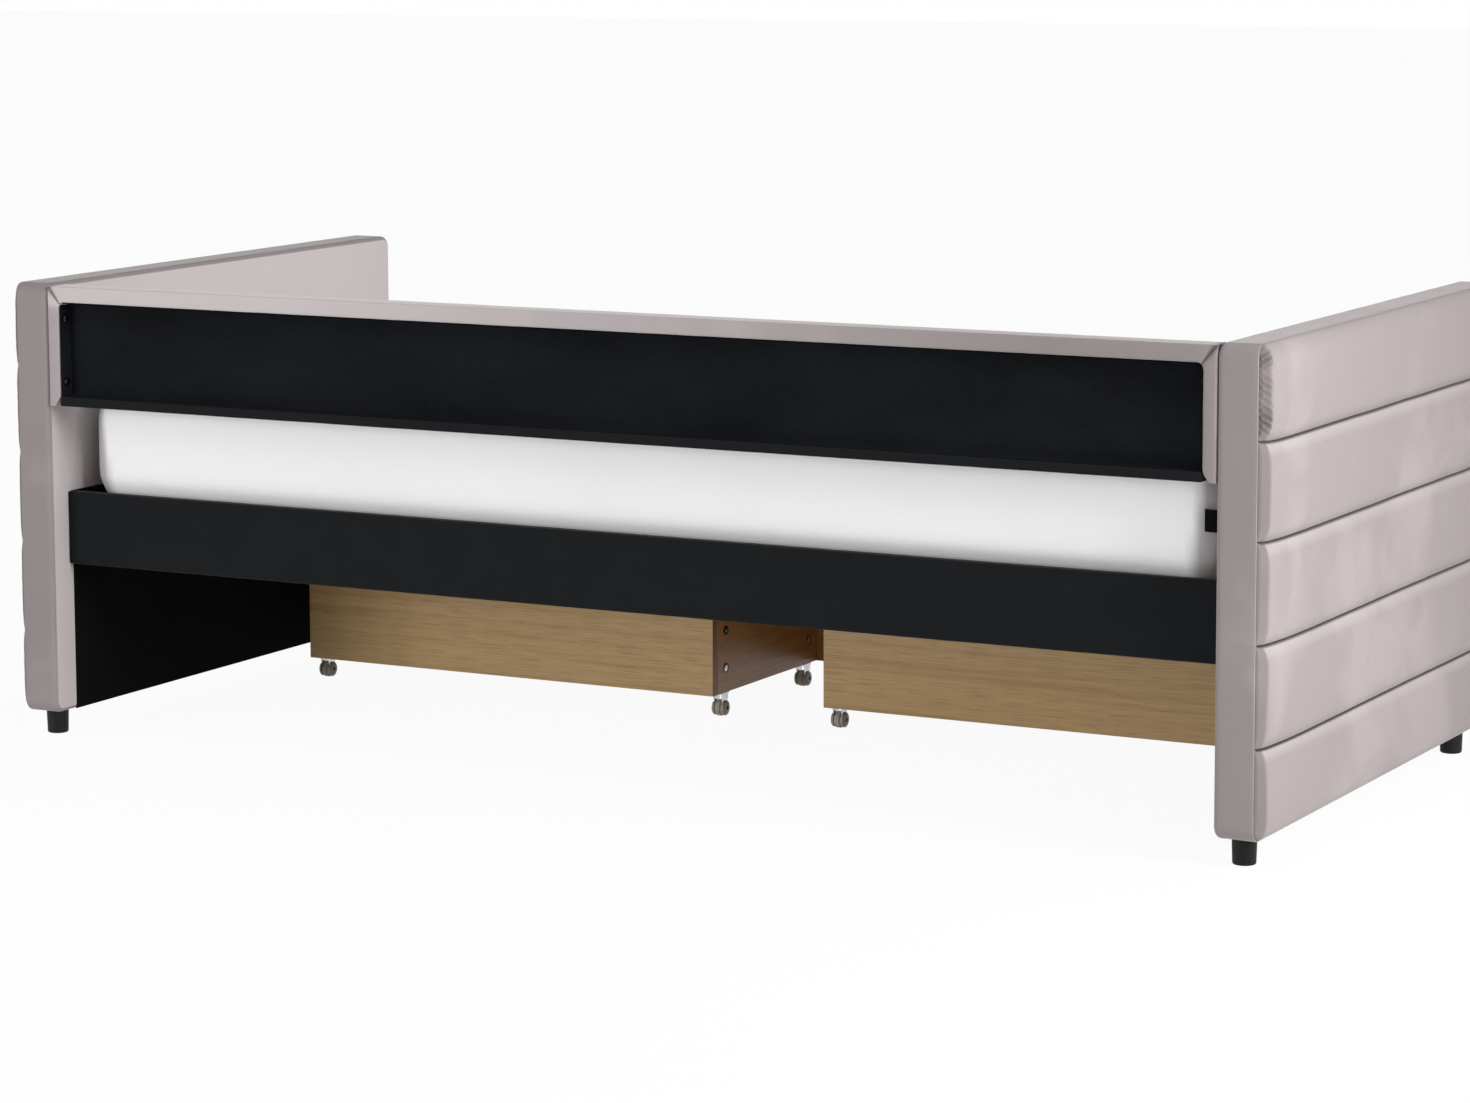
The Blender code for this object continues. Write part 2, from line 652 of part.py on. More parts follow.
def backrest_lining():
    """A thin open tray of lining that covers the cavity's floor and walls."""
    half = BACKREST_INNER_HALF - GAP
    low_y = BACKREST_FRAME_FRONT + BACKREST_PANEL_THICKNESS + GAP
    high_y = BACK - BACKREST_LINING_SETBACK
    low_z, high_z = BACKREST_CAVITY_BASE + GAP, BACKREST_CAVITY_TOP - GAP
    tray = add_object(
        "backrest_lining",
        box_mesh("backrest_lining", (-half, low_y, low_z), (half, high_y, high_z)),
        "black_lining",
    )
    t = BACKREST_LINING_THICKNESS
    hollow_low = (-half + t, low_y + t, low_z + t)
    hollow_high = (half - t, high_y + OVERRUN, high_z - t)
    cut(tray, add_object("lining_hollow", box_mesh("lining_hollow", hollow_low, hollow_high), "black_lining"))
    for side, sign in SIDES:
        bolt_holes(tray, side + "_lining", sign)


def bolt_heights():
    """Where the backrest's bolts lie in height."""
    return (
        ("upper", BACKREST_CAVITY_TOP - BOLT_TOP_MARGIN),
        ("lower", BACKREST_CAVITY_BASE + BOLT_BOTTOM_MARGIN),
    )


def bolt_seat():
    """How far from the middle a bolt's head bears on the lining."""
    return BACKREST_INNER_HALF - GAP - BACKREST_LINING_THICKNESS - GAP


def bolt_end():
    """How far from the middle a bolt's hole ends, inside the end panel."""
    return bolt_seat() + BOLT_SHANK_LENGTH + OVERRUN


def bolt_holes(piece, label, sign):
    """Cuts the two bolts' holes through one piece."""
    for place, z in bolt_heights():
        start = (sign * (bolt_seat() - OVERRUN), BACK - BOLT_SETBACK, z)
        end = (sign * (INNER_HALF + OVERRUN), BACK - BOLT_SETBACK, z)
        hole = cylinder_between(f"{label}_{place}_hole", start, end, BOLT_SHANK_RADIUS + GAP)
        cut(piece, hole)


def backrest_bolts():
    """The four bolts that hold the backrest between the end panels, with a socket in each head."""
    profile = (
        (0, -BOLT_HEAD_HEIGHT + BOLT_SOCKET_DEPTH),
        (BOLT_SOCKET_RADIUS, -BOLT_HEAD_HEIGHT + BOLT_SOCKET_DEPTH),
        (BOLT_SOCKET_RADIUS, -BOLT_HEAD_HEIGHT),
        (BOLT_HEAD_CROWN_RADIUS, -BOLT_HEAD_HEIGHT),
        (BOLT_HEAD_RADIUS, -BOLT_HEAD_HEIGHT + BOLT_HEAD_CROWN),
        (BOLT_HEAD_RADIUS, 0),
        (BOLT_SHANK_RADIUS, 0),
        (BOLT_SHANK_RADIUS, BOLT_SHANK_LENGTH),
        (0, BOLT_SHANK_LENGTH),
    )
    mesh = turned_mesh("backrest_bolt", profile, SMALL_ROUND_STEPS)
    for side, sign in SIDES:
        for place, z in bolt_heights():
            bolt = add_object(f"backrest_bolt_{side}_{place}", mesh, "zinc_steel")
            bolt.rotation_euler = (0, sign * math.pi / 2, 0)
            bolt.location = (sign * bolt_seat(), BACK - BOLT_SETBACK, z)


def backrest_pad():
    """The padded front of the backrest, crowned towards the sitter."""
    length = 2 * (INNER_HALF - GAP)
    thickness = BACKREST_FRAME_FRONT - GAP - REAR_RAIL_FRONT
    mesh = cushion_mesh(
        "backrest_pad",
        (length, BACKREST_HEIGHT, thickness),
        BACKREST_PAD_CORNER_RADIUS,
        min(BACKREST_PAD_RIM_RADIUS, thickness * MOST_ROUNDING_SHARE),
        min(BACKREST_PAD_CROWN, thickness * MOST_ROUNDING_SHARE),
        0,
    )
    pad = add_object("backrest_pad", mesh, "velvet")
    pad.rotation_euler = (math.pi / 2, 0, 0)
    pad.location = (0, BACKREST_FRAME_FRONT - GAP, (BACKREST_TOP + BACKREST_BASE) / 2)


def mattress():
    """The mattress and the blank tag in the seam at its rear left corner."""
    mesh = cushion_mesh(
        "mattress",
        (MATTRESS_LENGTH, MATTRESS_WIDTH, MATTRESS_HEIGHT),
        MATTRESS_CORNER_RADIUS,
        MATTRESS_RIM_RADIUS,
        MATTRESS_CROWN,
        MATTRESS_DRAW_IN,
    )
    cushion = add_object("mattress", mesh, "mattress_cover")
    cushion.location = (0, MATTRESS_MIDDLE, MATTRESS_BASE)
    corner_x = -MATTRESS_LENGTH / 2 + MATTRESS_CORNER_RADIUS
    corner_y = MATTRESS_WIDTH / 2 - MATTRESS_CORNER_RADIUS
    tag = box_mesh(
        "mattress_tag",
        (-TAG_WIDTH / 2, -TAG_THICKNESS / 2, 0),
        (TAG_WIDTH / 2, TAG_THICKNESS / 2, TAG_HEIGHT),
    )
    piece = add_object("mattress_tag", tag, "tag_cloth")
    piece.parent = cushion
    reach = MATTRESS_CORNER_RADIUS + TAG_SEAT + TAG_THICKNESS / 2
    piece.location = (
        corner_x - reach * math.sin(TAG_LEAN),
        corner_y + reach * math.cos(TAG_LEAN),
        TAG_BASE_HEIGHT,
    )
    piece.rotation_euler = (0, 0, TAG_LEAN)


def drawer_boards(side, front_centre):
    """One drawer's box: a covered front, a back over the sides' ends, and a base held in grooves."""
    centre = front_centre + DRAWER_BOX_OFFSET
    t = DRAWER_BOARD_THICKNESS
    half_box = DRAWER_BOX_WIDTH / 2
    box_top = DRAWER_BASE + DRAWER_BOX_HEIGHT
    half_front = DRAWER_FRONT_WIDTH / 2
    wrap = DRAWER_PAD_WRAP + GAP
    boards = {
        "front_board": (
            (front_centre - half_front + wrap, DRAWER_FRONT_INNER - t, DRAWER_BASE + wrap),
            (front_centre + half_front - wrap, DRAWER_FRONT_INNER, DRAWER_FRONT_TOP - wrap),
        ),
        "back_board": (
            (centre - half_box, DRAWER_BACK - t, DRAWER_BASE),
            (centre + half_box, DRAWER_BACK, box_top),
        ),
        "left_board": (
            (centre - half_box, DRAWER_FRONT_INNER + GAP, DRAWER_BASE),
            (centre - half_box + t, DRAWER_BACK - t - GAP, box_top),
        ),
        "right_board": (
            (centre + half_box - t, DRAWER_FRONT_INNER + GAP, DRAWER_BASE),
            (centre + half_box, DRAWER_BACK - t - GAP, box_top),
        ),
    }
    groove = drawer_groove(side, centre)
    pieces = []
    for place, (low, high) in boards.items():
        finish = "oak_foil" if place == "back_board" else "brown_foil"
        piece = board(f"{side}_drawer_{place}", low, high, finish, DRAWER_BOARD_RADIUS, 1)
        pieces.append(piece)
        cut(piece, groove)
        if place in ("left_board", "right_board"):
            outward = -1 if place == "left_board" else 1
            cut_fittings(piece, centre + outward * half_box, outward)
    low, high = base_corners(centre, 0)
    name = f"{side}_drawer_base"
    pieces.append(add_object(name, box_mesh(name, low, high), "hardboard"))
    return pieces


def base_corners(centre, grow):
    """The corners of a drawer's base panel, or of the grooves that hold it."""
    reach = DRAWER_BOX_WIDTH / 2 - DRAWER_BOARD_THICKNESS + DRAWER_GROOVE_DEPTH - GAP
    low_y = DRAWER_FRONT_INNER - DRAWER_GROOVE_DEPTH + GAP
    high_y = DRAWER_BACK - DRAWER_BOARD_THICKNESS + DRAWER_GROOVE_DEPTH - GAP
    low_z = DRAWER_BASE + DRAWER_BASE_RISE
    low = (centre - reach - grow, low_y - grow, low_z - grow)
    high = (centre + reach + grow, high_y + grow, low_z + DRAWER_BASE_THICKNESS + grow)
    return low, high


def drawer_groove(side, centre):
    low, high = base_corners(centre, GAP)
    name = side + "_drawer_groove"
    return add_object(name, box_mesh(name, low, high), "hardboard")


def cut_fittings(piece, face_x, outward):
    """The blind holes for the joining fittings, in a side board's outer face."""
    for row in range(2):
        z = DRAWER_BASE + FITTING_LOW_HEIGHT + row * FITTING_SPACING
        rear_y = DRAWER_BACK - DRAWER_BOARD_THICKNESS - FITTING_END_DISTANCE
        front_y = DRAWER_FRONT_INNER + FITTING_END_DISTANCE
        for column, y in enumerate((rear_y, front_y)):
            start = (face_x + outward * OVERRUN, y, z)
            end = (face_x - outward * FITTING_DEPTH, y, z)
            name = f"{piece.name}_fitting_{row}{column}"
            cut(piece, cylinder_between(name, start, end, FITTING_RADIUS))


def drawer_cover(side, centre):
    """The drawer front's padded cover, wrapped round the board's four edges."""
    half = DRAWER_FRONT_WIDTH / 2
    name = side + "_drawer_cover"
    low = (centre - half, FRONT, DRAWER_BASE)
    high = (centre + half, DRAWER_FRONT_INNER, DRAWER_FRONT_TOP)
    mesh = box_mesh(name, low, high)
    bm = bmesh.new()
    bm.from_mesh(mesh)
    soft = [edge for edge in bm.edges if any(vert.co.y < FRONT + GAP for vert in edge.verts)]
    bmesh.ops.bevel(bm, geom=soft, offset=DRAWER_PAD_RADIUS, segments=3, profile=0.5, affect="EDGES")
    bm.to_mesh(mesh)
    bm.free()
    cover = add_object(name, mesh, "velvet")
    wrap = DRAWER_PAD_WRAP
    pocket = box_mesh(
        name + "_pocket",
        (centre - half + wrap, FRONT + DRAWER_PAD_THICKNESS, DRAWER_BASE + wrap),
        (centre + half - wrap, DRAWER_FRONT_INNER + OVERRUN, DRAWER_FRONT_TOP - wrap),
    )
    cut(cover, add_object(name + "_pocket", pocket, "velvet"))
    return cover


def fork_mesh():
    """A folded caster bracket with its riveted axle: a plate, two tapering legs and the pin between them."""
    inner = WHEEL_WIDTH / 2 + WHEEL_CLEARANCE
    outer = inner + FORK_THICKNESS
    top = CASTER_HEIGHT - GAP
    half_plate, half_leg = FORK_PLATE_LENGTH / 2, FORK_LEG_WIDTH / 2
    plate = add_object(
        "fork_pattern",
        box_mesh("fork_pattern", (-outer, -half_plate, top - FORK_THICKNESS), (outer, half_plate, top)),
        "zinc_steel",
    )
    outline = [(half_leg, top - FORK_THICKNESS / 2), (-half_leg, top - FORK_THICKNESS / 2)]
    for step in range(LEG_STEPS + 1):
        angle = math.pi + math.pi * step / LEG_STEPS
        outline.append((FORK_TIP_RADIUS * math.cos(angle), WHEEL_RADIUS + FORK_TIP_RADIUS * math.sin(angle)))
    for index, (a, b) in enumerate(((-outer, -inner), (inner, outer))):
        bm = bmesh.new()
        loft(bm, [[(x, y, z) for y, z in outline] for x in (a, b)])
        name = f"fork_leg_{index}"
        join(plate, add_object(name, mesh_from(bm, name), "zinc_steel"))
    head = outer + AXLE_HEAD_HEIGHT
    profile = (
        (0, -head),
        (AXLE_HEAD_RADIUS, -head),
        (AXLE_HEAD_RADIUS, -outer + FORK_THICKNESS / 2),
        (AXLE_RADIUS, -outer + FORK_THICKNESS / 2),
        (AXLE_RADIUS, outer - FORK_THICKNESS / 2),
        (AXLE_HEAD_RADIUS, outer - FORK_THICKNESS / 2),
        (AXLE_HEAD_RADIUS, head),
        (0, head),
    )
    axle = add_object("fork_axle", turned_mesh("fork_axle", profile, SMALL_ROUND_STEPS), "zinc_steel")
    axle.rotation_euler = (0, math.pi / 2, 0)
    axle.location = (0, 0, WHEEL_RADIUS)
    join(plate, axle)
    return bake(as_helper(plate))


def wheel_mesh():
    """A caster wheel about X, with dished sides, chamfered shoulders and a running bore."""
    half = WHEEL_WIDTH / 2
    bore = AXLE_RADIUS + AXLE_RUNNING_GAP
    dish = half - WHEEL_DISH_DEPTH
    one_side = (
        (bore, half),
        (WHEEL_HUB_RADIUS, half),
        (WHEEL_HUB_RADIUS, dish),
        (WHEEL_RIM_RADIUS, dish),
        (WHEEL_RADIUS - WHEEL_SHOULDER, half),
        (WHEEL_RADIUS, half - WHEEL_SHOULDER),
    )
    profile = one_side + tuple((radius, -height) for radius, height in reversed(one_side))
    mesh = turned_mesh("wheel", profile, WHEEL_STEPS, closed=True)
    mesh.transform(Matrix.Rotation(math.pi / 2, 4, "Y"))
    return mesh


def casters(side, front_centre, fork, wheel):
    """Four fixed casters under the side boards of one drawer."""
    reach = DRAWER_BOX_WIDTH / 2 - CASTER_SIDE_INSET
    rear_y = DRAWER_BACK - CASTER_REAR_DISTANCE
    front_y = DRAWER_FRONT_INNER + CASTER_FRONT_DISTANCE
    pieces = []
    for place, y in (("rear", rear_y), ("front", front_y)):
        for hand, outward in SIDES:
            x = front_centre + DRAWER_BOX_OFFSET + outward * reach
            label = f"{place}_{hand}"
            bracket = add_object(f"{side}_drawer_fork_{label}", fork, "zinc_steel")
            bracket.location = (x, y, 0)
            roller = add_object(f"{side}_drawer_wheel_{label}", wheel, "grey_rubber")
            roller.location = (x, y, WHEEL_RADIUS)
            pieces += [bracket, roller]
    return pieces


def drawer(side, sign, fork, wheel):
    """A whole drawer, its pieces held by an empty on the line that it rolls along."""
    centre = sign * DRAWER_CENTRE
    pieces = drawer_boards(side, centre)
    pieces.append(drawer_cover(side, centre))
    pieces += casters(side, centre, fork, wheel)
    carrier = bpy.data.objects.new(side + "_drawer", None)
    bpy.context.scene.collection.objects.link(carrier)
    carrier.location = (centre, FRONT, 0)
    bpy.context.view_layer.update()
    for piece in pieces:
        piece.parent = carrier
        piece.matrix_parent_inverse = carrier.matrix_world.inverted()


def build():
    clear_scene()
    for side, sign in SIDES:
        end_core(side, sign)
        end_cover(side, sign)
        end_lining(side, sign)
    feet()
    rails()
    rail_brackets()
    slat_base()
    backrest_frame()
    backrest_lining()
    backrest_bolts()
    backrest_pad()
    mattress()
    fork, wheel = fork_mesh(), wheel_mesh()
    for side, sign in SIDES:
        drawer(side, sign, fork, wheel)


build()
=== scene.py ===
"""The storage daybed as it looks: velvet, mattress, cloth, foil boards and metal over the CAD frame.

Lengths are in metres. The front is at -Y and the back at +Y, and the photograph is taken from behind.
"""

import itertools
import math
import random

import bmesh
import bpy
import numpy as np
from mathutils import Matrix, Vector, noise
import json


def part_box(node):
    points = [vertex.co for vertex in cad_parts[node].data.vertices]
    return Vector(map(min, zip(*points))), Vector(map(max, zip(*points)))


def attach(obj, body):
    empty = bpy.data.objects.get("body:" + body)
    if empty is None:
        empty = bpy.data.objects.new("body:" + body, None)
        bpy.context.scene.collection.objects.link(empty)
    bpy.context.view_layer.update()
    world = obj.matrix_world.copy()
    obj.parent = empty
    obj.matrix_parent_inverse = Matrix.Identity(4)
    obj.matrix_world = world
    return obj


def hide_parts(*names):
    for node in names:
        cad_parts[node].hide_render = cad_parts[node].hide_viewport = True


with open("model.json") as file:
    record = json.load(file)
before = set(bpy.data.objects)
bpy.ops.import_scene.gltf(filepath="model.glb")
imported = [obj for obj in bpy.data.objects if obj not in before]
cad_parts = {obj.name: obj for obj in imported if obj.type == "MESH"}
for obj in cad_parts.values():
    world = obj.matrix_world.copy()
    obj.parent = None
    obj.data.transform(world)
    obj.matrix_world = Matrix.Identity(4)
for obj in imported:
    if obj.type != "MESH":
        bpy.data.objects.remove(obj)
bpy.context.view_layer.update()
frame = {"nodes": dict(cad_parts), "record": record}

# Camera, fitted to the photograph
PHOTO_WIDTH = 1470
PHOTO_HEIGHT = 1103
PRINCIPAL_POINT = (639, 446.3)
FOCAL_PIXELS = 4384.71
SENSOR_WIDTH = 36
CAMERA_PLACE = Vector((-3.29466, 6.22989, 1.41564))
CAMERA_YAW = 0.51174
CAMERA_PITCH = 0.13147
CAMERA_ROLL = -0.00646

# Light
AMBIENT = 0.50
KEY_PLACE = (-4.2, 1.05, 1.85)
KEY_SIZE = 1.8
KEY_POWER = 172
FILL_PLACE = (2.2, 4.2, 0.9)
FILL_SIZE = 1.6
FILL_POWER = 62
LAMP_TARGET = (0, 0, 0.4)
FLOOR_HALF = 30
FLOOR_DROP = 0.0006
FLOOR_GREY = 0.92
FLOOR_GLOW_SHARE = 0.94

# Sizes that many pieces share
HAIR = 0.0002
WELD = 0.00001
SURFACE_STEP = 0.02
RIPPLE_SIZE = 0.06

# End panels
SEAM_HEIGHTS = (0.1696, 0.3179, 0.4652, 0.6078)
CHANNELS = len(SEAM_HEIGHTS) + 1
PANEL_CORNER_RADIUS = 0.020
PANEL_RIM_RADIUS = 0.009
PANEL_STEP = 0.012
STRIP_RISE = 0.0066
STRIP_LIP = 0.0014
STRIP_LIP_RADIUS = 0.0010
STRIP_RIPPLE = 0.0005
STRIP_RIPPLE_SIZE = 0.05
LINING_BORDER = 0.055
LINING_RECESS = 0.0023
RECESS_REACH = 0.003
COVER_GAP = 0.0003
COVER_EDGE = 0.0072
COVER_SEAM = 0.0015
SEAM_SLIT = 0.0019
SEAM_SLIT_POWER = 1.6
SEAM_SHOULDER = 0.0050
SEAM_SHADE_SLITS = 1.7
SEAM_END_LIFT = 0.006
SEAM_END_REACH = 0.045
SEAM_WANDER = 0.0010
WANDER_SIZE = 0.16
WANDER_CLEARANCE = 0.05
PILLOW_RISE = 0.0130
PILLOW_RISE_RADIUS = 0.034
PILLOW_BORDER_RADIUS = 0.030
PILLOW_CROWN = 0.0020
PILLOW_END_DEPTH = 0.0165
PILLOW_SWELL_LIMIT = 0.003
PILLOW_SWELL_SHARE = 0.6
PILLOW_RIPPLE = 0.0006
PILLOW_RIPPLE_SIZE = 0.11
CHAMFER_STEP = 0.22
CHAMFER_STEP_REACH = 0.12
CHAMFER_POWER = 7
PUCKER_DEPTH = 0.0006
PUCKER_LENGTH = 0.020
PUCKER_WIDTH = 0.0040
PUCKER_SPACING = 0.028
GATHER_DEPTH = 0.0010
GATHER_LENGTH = 0.022
GATHER_WIDTH = 0.0026
GATHER_REACH = 0.021
GATHER_BUMP = 0.006

# Gathers drawn in the top channel's end, with relief and painted shade in their troughs: the name of their
# mask, their slope and their spacing
GATHERS = (
    ("gather_low", math.radians(-31), 0.0092),
    ("gather_high", math.radians(24), 0.0080),
)

# Backrest, rails and drawer fronts
BOARD_RIPPLE = 0.0005
BOARD_END_RADIUS = 0.002
BACKREST_EDGE_RADIUS = 0.0035
BACKREST_INNER_CORNER = 0.010
BACKREST_OUTER_CORNER = 0.004
BACKREST_STEP = 0.008
MITRE_DEPTH = 0.0014
NOSE_CUT = 0.010
NOSE_REACH = 0.018
BLACK_EDGE_RADIUS = 0.003
REAR_RAIL_RADIUS = 0.0045
FRONT_RAIL_RADIUS = 0.012
PAD_RADIUS = 0.008
PAD_CROWN = 0.003
PAD_HELD_HEIGHT = 0.004
DRAWER_WRAP = 0.003
DRAWER_WRAP_RADIUS = 0.004
DRAWER_PAD = 0.0105
DRAWER_RIM_RADIUS = 0.009
DRAWER_CROWN = 0.003
SOFT_SWELL_LIMIT = 0.006

# Mattress
MATTRESS_RADIUS = 0.056
MATTRESS_CROWN = 0.004
MATTRESS_STEP = 0.03
MATTRESS_HELD_HEIGHT = 0.02
MATTRESS_SWELL_LIMIT = 0.004
MATTRESS_SHADE_WIDTH = 0.032
MATTRESS_SHADE_SPREAD = 0.022
MATTRESS_SHADE_FADE = 0.012
TAG_WIDTH = 0.018
TAG_LEAN = math.radians(34)
TAG_PLACE = math.radians(54)
TAG_STAND = 0.0045
TAG_STRETCH = 0.004
TAG_SLANT = 0.12
TAG_BEND = 0.0012
TAG_HALF_THICKNESS = 0.00025

# Linings
LINING_WAVE = 0.0006
LINING_THICKNESS = 0.0014
BACK_LINING_THICKNESS = 0.0010
BACK_LINING_CORNER = 0.005

# Small fittings
TIP_RADIUS = 0.0003
AXLE_CAP_RADIUS = 0.0034
AXLE_CAP_RISE = 0.0016
AXLE_CAP_ROOT = -0.0008
AXLE_HEIGHT = 0.014
CAP_RADIUS = 0.0066
CAP_RISE = 0.0009
CAP_RING_RADIUS = 0.0080
CAP_RING_RISE = 0.0012
GLINT_RADIUS = 0.0026
HUB_RADIUS = 0.0128
HUB_RISE = 0.0034
HOOD_OPENING = math.radians(52)
HOOD_THICKNESS = 0.001
FITTING_END_DISTANCE = 0.030
FITTING_LOW_HEIGHT = 0.042
FITTING_SPACING = 0.0635
TAPE_WIDTH = 0.028
TAPE_SPREAD = 0.560
TAPE_DROP = 0.0012

# Cloth simulation
CLOTH_PRESSURE = 4
CLOTH_FRAMES = 20
CLOTH_QUALITY = 4

SIDES = (("left", -1), ("right", 1))


def srgb(red, green, blue):
    """A colour written as 0 to 255 the way a screen shows it."""
    channels = [value / 255 for value in (red, green, blue)]
    return tuple(c / 12.92 if c <= 0.04045 else ((c + 0.055) / 1.055) ** 2.4 for c in channels)


VELVET = srgb(141, 133, 133)
VELVET_LIGHT = srgb(154, 145, 145)
VELVET_DARK = srgb(141, 132, 132)
# Painted shade and painted light colours that the velvet is mixed towards
VELVET_PAINTED_SHADE = srgb(20, 8, 4)
VELVET_PAINTED_LIGHT = srgb(196, 188, 188)

# How far each part of the velvet goes towards the painted shade colour
END_PAINTED_SHADE = 0.32
TOP_PAINTED_SHADE = 0.22
UPPER_PAINTED_SHADE = 0.10
FRONT_PAINTED_SHADE = 0.20
UNDER_PAINTED_SHADE = 0.30
MITRE_SHADE_SHARE = 0.8

# How far each part of the velvet goes towards the painted light colour
OVER_PAINTED_LIGHT = 0.32
INNER_PAINTED_LIGHT = 0.95
BAND_PAINTED_LIGHT = 0.95

# How far the mattress's ends and the end linings go towards their painted shade colours
MATTRESS_SHADE_SHARE = 0.66
LINING_SHADE_SHARE = 0.75


def corners(node):
    low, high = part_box(node)
    return Vector(low), Vector(high)


class Tree:
    """A node tree while it is put together."""

    def __init__(self, owner, empty=True):
        owner.use_nodes = True
        self.nodes = owner.node_tree.nodes
        self.links = owner.node_tree.links
        if empty:
            self.nodes.clear()

    def add(self, kind, inputs=None, **settings):
        made = self.nodes.new("ShaderNode" + kind)
        for name, value in settings.items():
            setattr(made, name, value)
        for key, value in (inputs or {}).items():
            if isinstance(value, bpy.types.NodeSocket):
                self.links.new(value, made.inputs[key])
            else:
                made.inputs[key].default_value = value
        return made

    def seen_by(self, *rays):
        """1 for the kinds of ray that are named and 0 for all others."""
        path = self.add("LightPath")
        seen = path.outputs[rays[0]]
        for ray in rays[1:]:
            seen = self.add("Math", {0: seen, 1: path.outputs[ray]}, operation="MAXIMUM").outputs[0]
        return seen


class Look(Tree):
    """A material while its nodes are put together."""

    def __init__(self, name, **values):
        self.material = bpy.data.materials.new(name)
        super().__init__(self.material, empty=False)
        self.shader = self.nodes["Principled BSDF"]
        for socket, value in values.items():
            label = socket.replace("_", " ").title().replace("Ior", "IOR")
            self.shader.inputs[label].default_value = value
        self.place = self.add("TexCoord").outputs["Object"]

    def noise(self, scale, detail=2.0, stretch=(1, 1, 1), distortion=0.0):
        stretched = self.add("Mapping", {"Vector": self.place, "Scale": stretch}).outputs["Vector"]
        inputs = {"Vector": stretched, "Scale": scale, "Detail": detail, "Distortion": distortion}
        return self.add("TexNoise", inputs).outputs["Fac"]

    def bands(self, period, direction, distortion=0.0, turn=0.0, detail_scale=1.0):
        """Waves across a direction, which may be turned about X."""
        place = self.place
        if turn:
            place = self.add("Mapping", {"Vector": place, "Rotation": (turn, 0, 0)}).outputs["Vector"]
        inputs = {"Vector": place, "Scale": math.pi / (10 * period), "Distortion": distortion}
        inputs["Detail Scale"] = detail_scale
        return self.add("TexWave", inputs, bands_direction=direction).outputs["Fac"]

    def mark(self, name):
        """A number that the mesh keeps for each of its points."""
        return self.add("Attribute", attribute_name=name).outputs["Fac"]

    def sum(self, a, b, share=0.5):
        return self.add("Mix", {0: share, 2: a, 3: b}).outputs[0]

    def times(self, a, b):
        return self.add("Math", {0: a, 1: b}, operation="MULTIPLY").outputs[0]

    def spread(self, value, low, high, start=0.0, end=1.0):
        """Turns start to end into low to high, and stays within those."""
        inputs = {"Value": value, "From Min": start, "From Max": end, "To Min": low, "To Max": high}
        return self.add("MapRange", inputs).outputs["Result"]

    def ramp(self, value, *stops):
        made = self.add("ValToRGB", {"Fac": value})
        points = made.color_ramp.elements
        while len(points) < len(stops):
            points.new(0.5)
        for point, (place, colour) in zip(points, stops):
            point.position = place
            point.color = (*colour, 1)
        return made.outputs["Color"]

    def mix(self, share, a, b):
        made = self.add("Mix", data_type="RGBA")
        for index, value in ((0, share), (6, a), (7, b)):
            if isinstance(value, bpy.types.NodeSocket):
                self.links.new(value, made.inputs[index])
            else:
                made.inputs[index].default_value = (*value, 1) if index else value
        return made.outputs[2]

    def colour(self, value):
        self.links.new(value, self.shader.inputs["Base Color"])

    def rough(self, value, low, high):
        self.links.new(self.spread(value, low, high), self.shader.inputs["Roughness"])

    def bump(self, height, distance, strength=1.0):
        made = self.add("Bump", {"Height": height, "Distance": distance, "Strength": strength})
        below = self.shader.inputs["Normal"].links
        if below:
            self.links.new(below[0].from_socket, made.inputs["Normal"])
        self.links.new(made.outputs["Normal"], self.shader.inputs["Normal"])


def velvet_look():
    """Short-pile velvet: patches where the pile leans, fine fibres and a soft sheen, with painted shade and
    painted light read from marks on the mesh, and painted shade in the gathers' troughs.
    """
    look = Look("velvet", roughness=0.85, specular_ior_level=0.12, sheen_weight=0.30, sheen_roughness=0.4)
    look.shader.inputs["Sheen Tint"].default_value = (1.0, 0.96, 0.95, 1)
    leaning = look.sum(look.noise(2.4, 3, distortion=0.5), look.noise(8, 3, distortion=0.8), 0.3)
    shade = look.ramp(leaning, (0.38, VELVET_DARK), (0.5, VELVET), (0.62, VELVET_LIGHT))
    fibres = look.noise(1100, 2)
    pile = look.mix(0.10, shade, look.ramp(fibres, (0.3, VELVET_DARK), (0.7, VELVET_LIGHT)))
    # Painted light: lighter pile where the mesh's mark says so
    painted_tone = look.mix(look.mark("painted_light"), pile, VELVET_PAINTED_LIGHT)
    # Painted shade: darker where the mesh's mark says so, in seams, creases, ends and tops
    with_painted_shade = look.mix(look.mark("painted_shade"), painted_tone, VELVET_PAINTED_SHADE)
    for name, angle, period in GATHERS:
        wave = look.bands(period, "Z", 1.3, turn=angle, detail_scale=40)
        here = look.mark(name)
        # Painted shade in the troughs of the gathers
        gather_painted_shade = look.times(here, look.spread(wave, 0.0, 0.55, start=0.4, end=0.05))
        with_painted_shade = look.mix(gather_painted_shade, with_painted_shade, VELVET_PAINTED_SHADE)
        look.bump(look.times(here, wave), GATHER_BUMP)
    look.colour(with_painted_shade)
    look.bump(look.noise(60, 3), 0.0004, 0.4)
    look.bump(fibres, 0.0004, 0.35)
    return look.material


def black_cloth_look():
    """Matt black cloth with a fine plain weave."""
    look = Look("black_cloth", roughness=0.9, specular_ior_level=0.15, sheen_weight=0.03)
    weave = look.times(look.bands(0.0011, "X", 1.0), look.bands(0.0011, "Z", 1.0))
    tone = look.sum(weave, look.noise(14, 3), 0.6)
    look.colour(look.ramp(tone, (0.2, srgb(14, 16, 18)), (0.8, srgb(21, 23, 25))))
    look.bump(weave, 0.0003, 0.6)
    return look.material


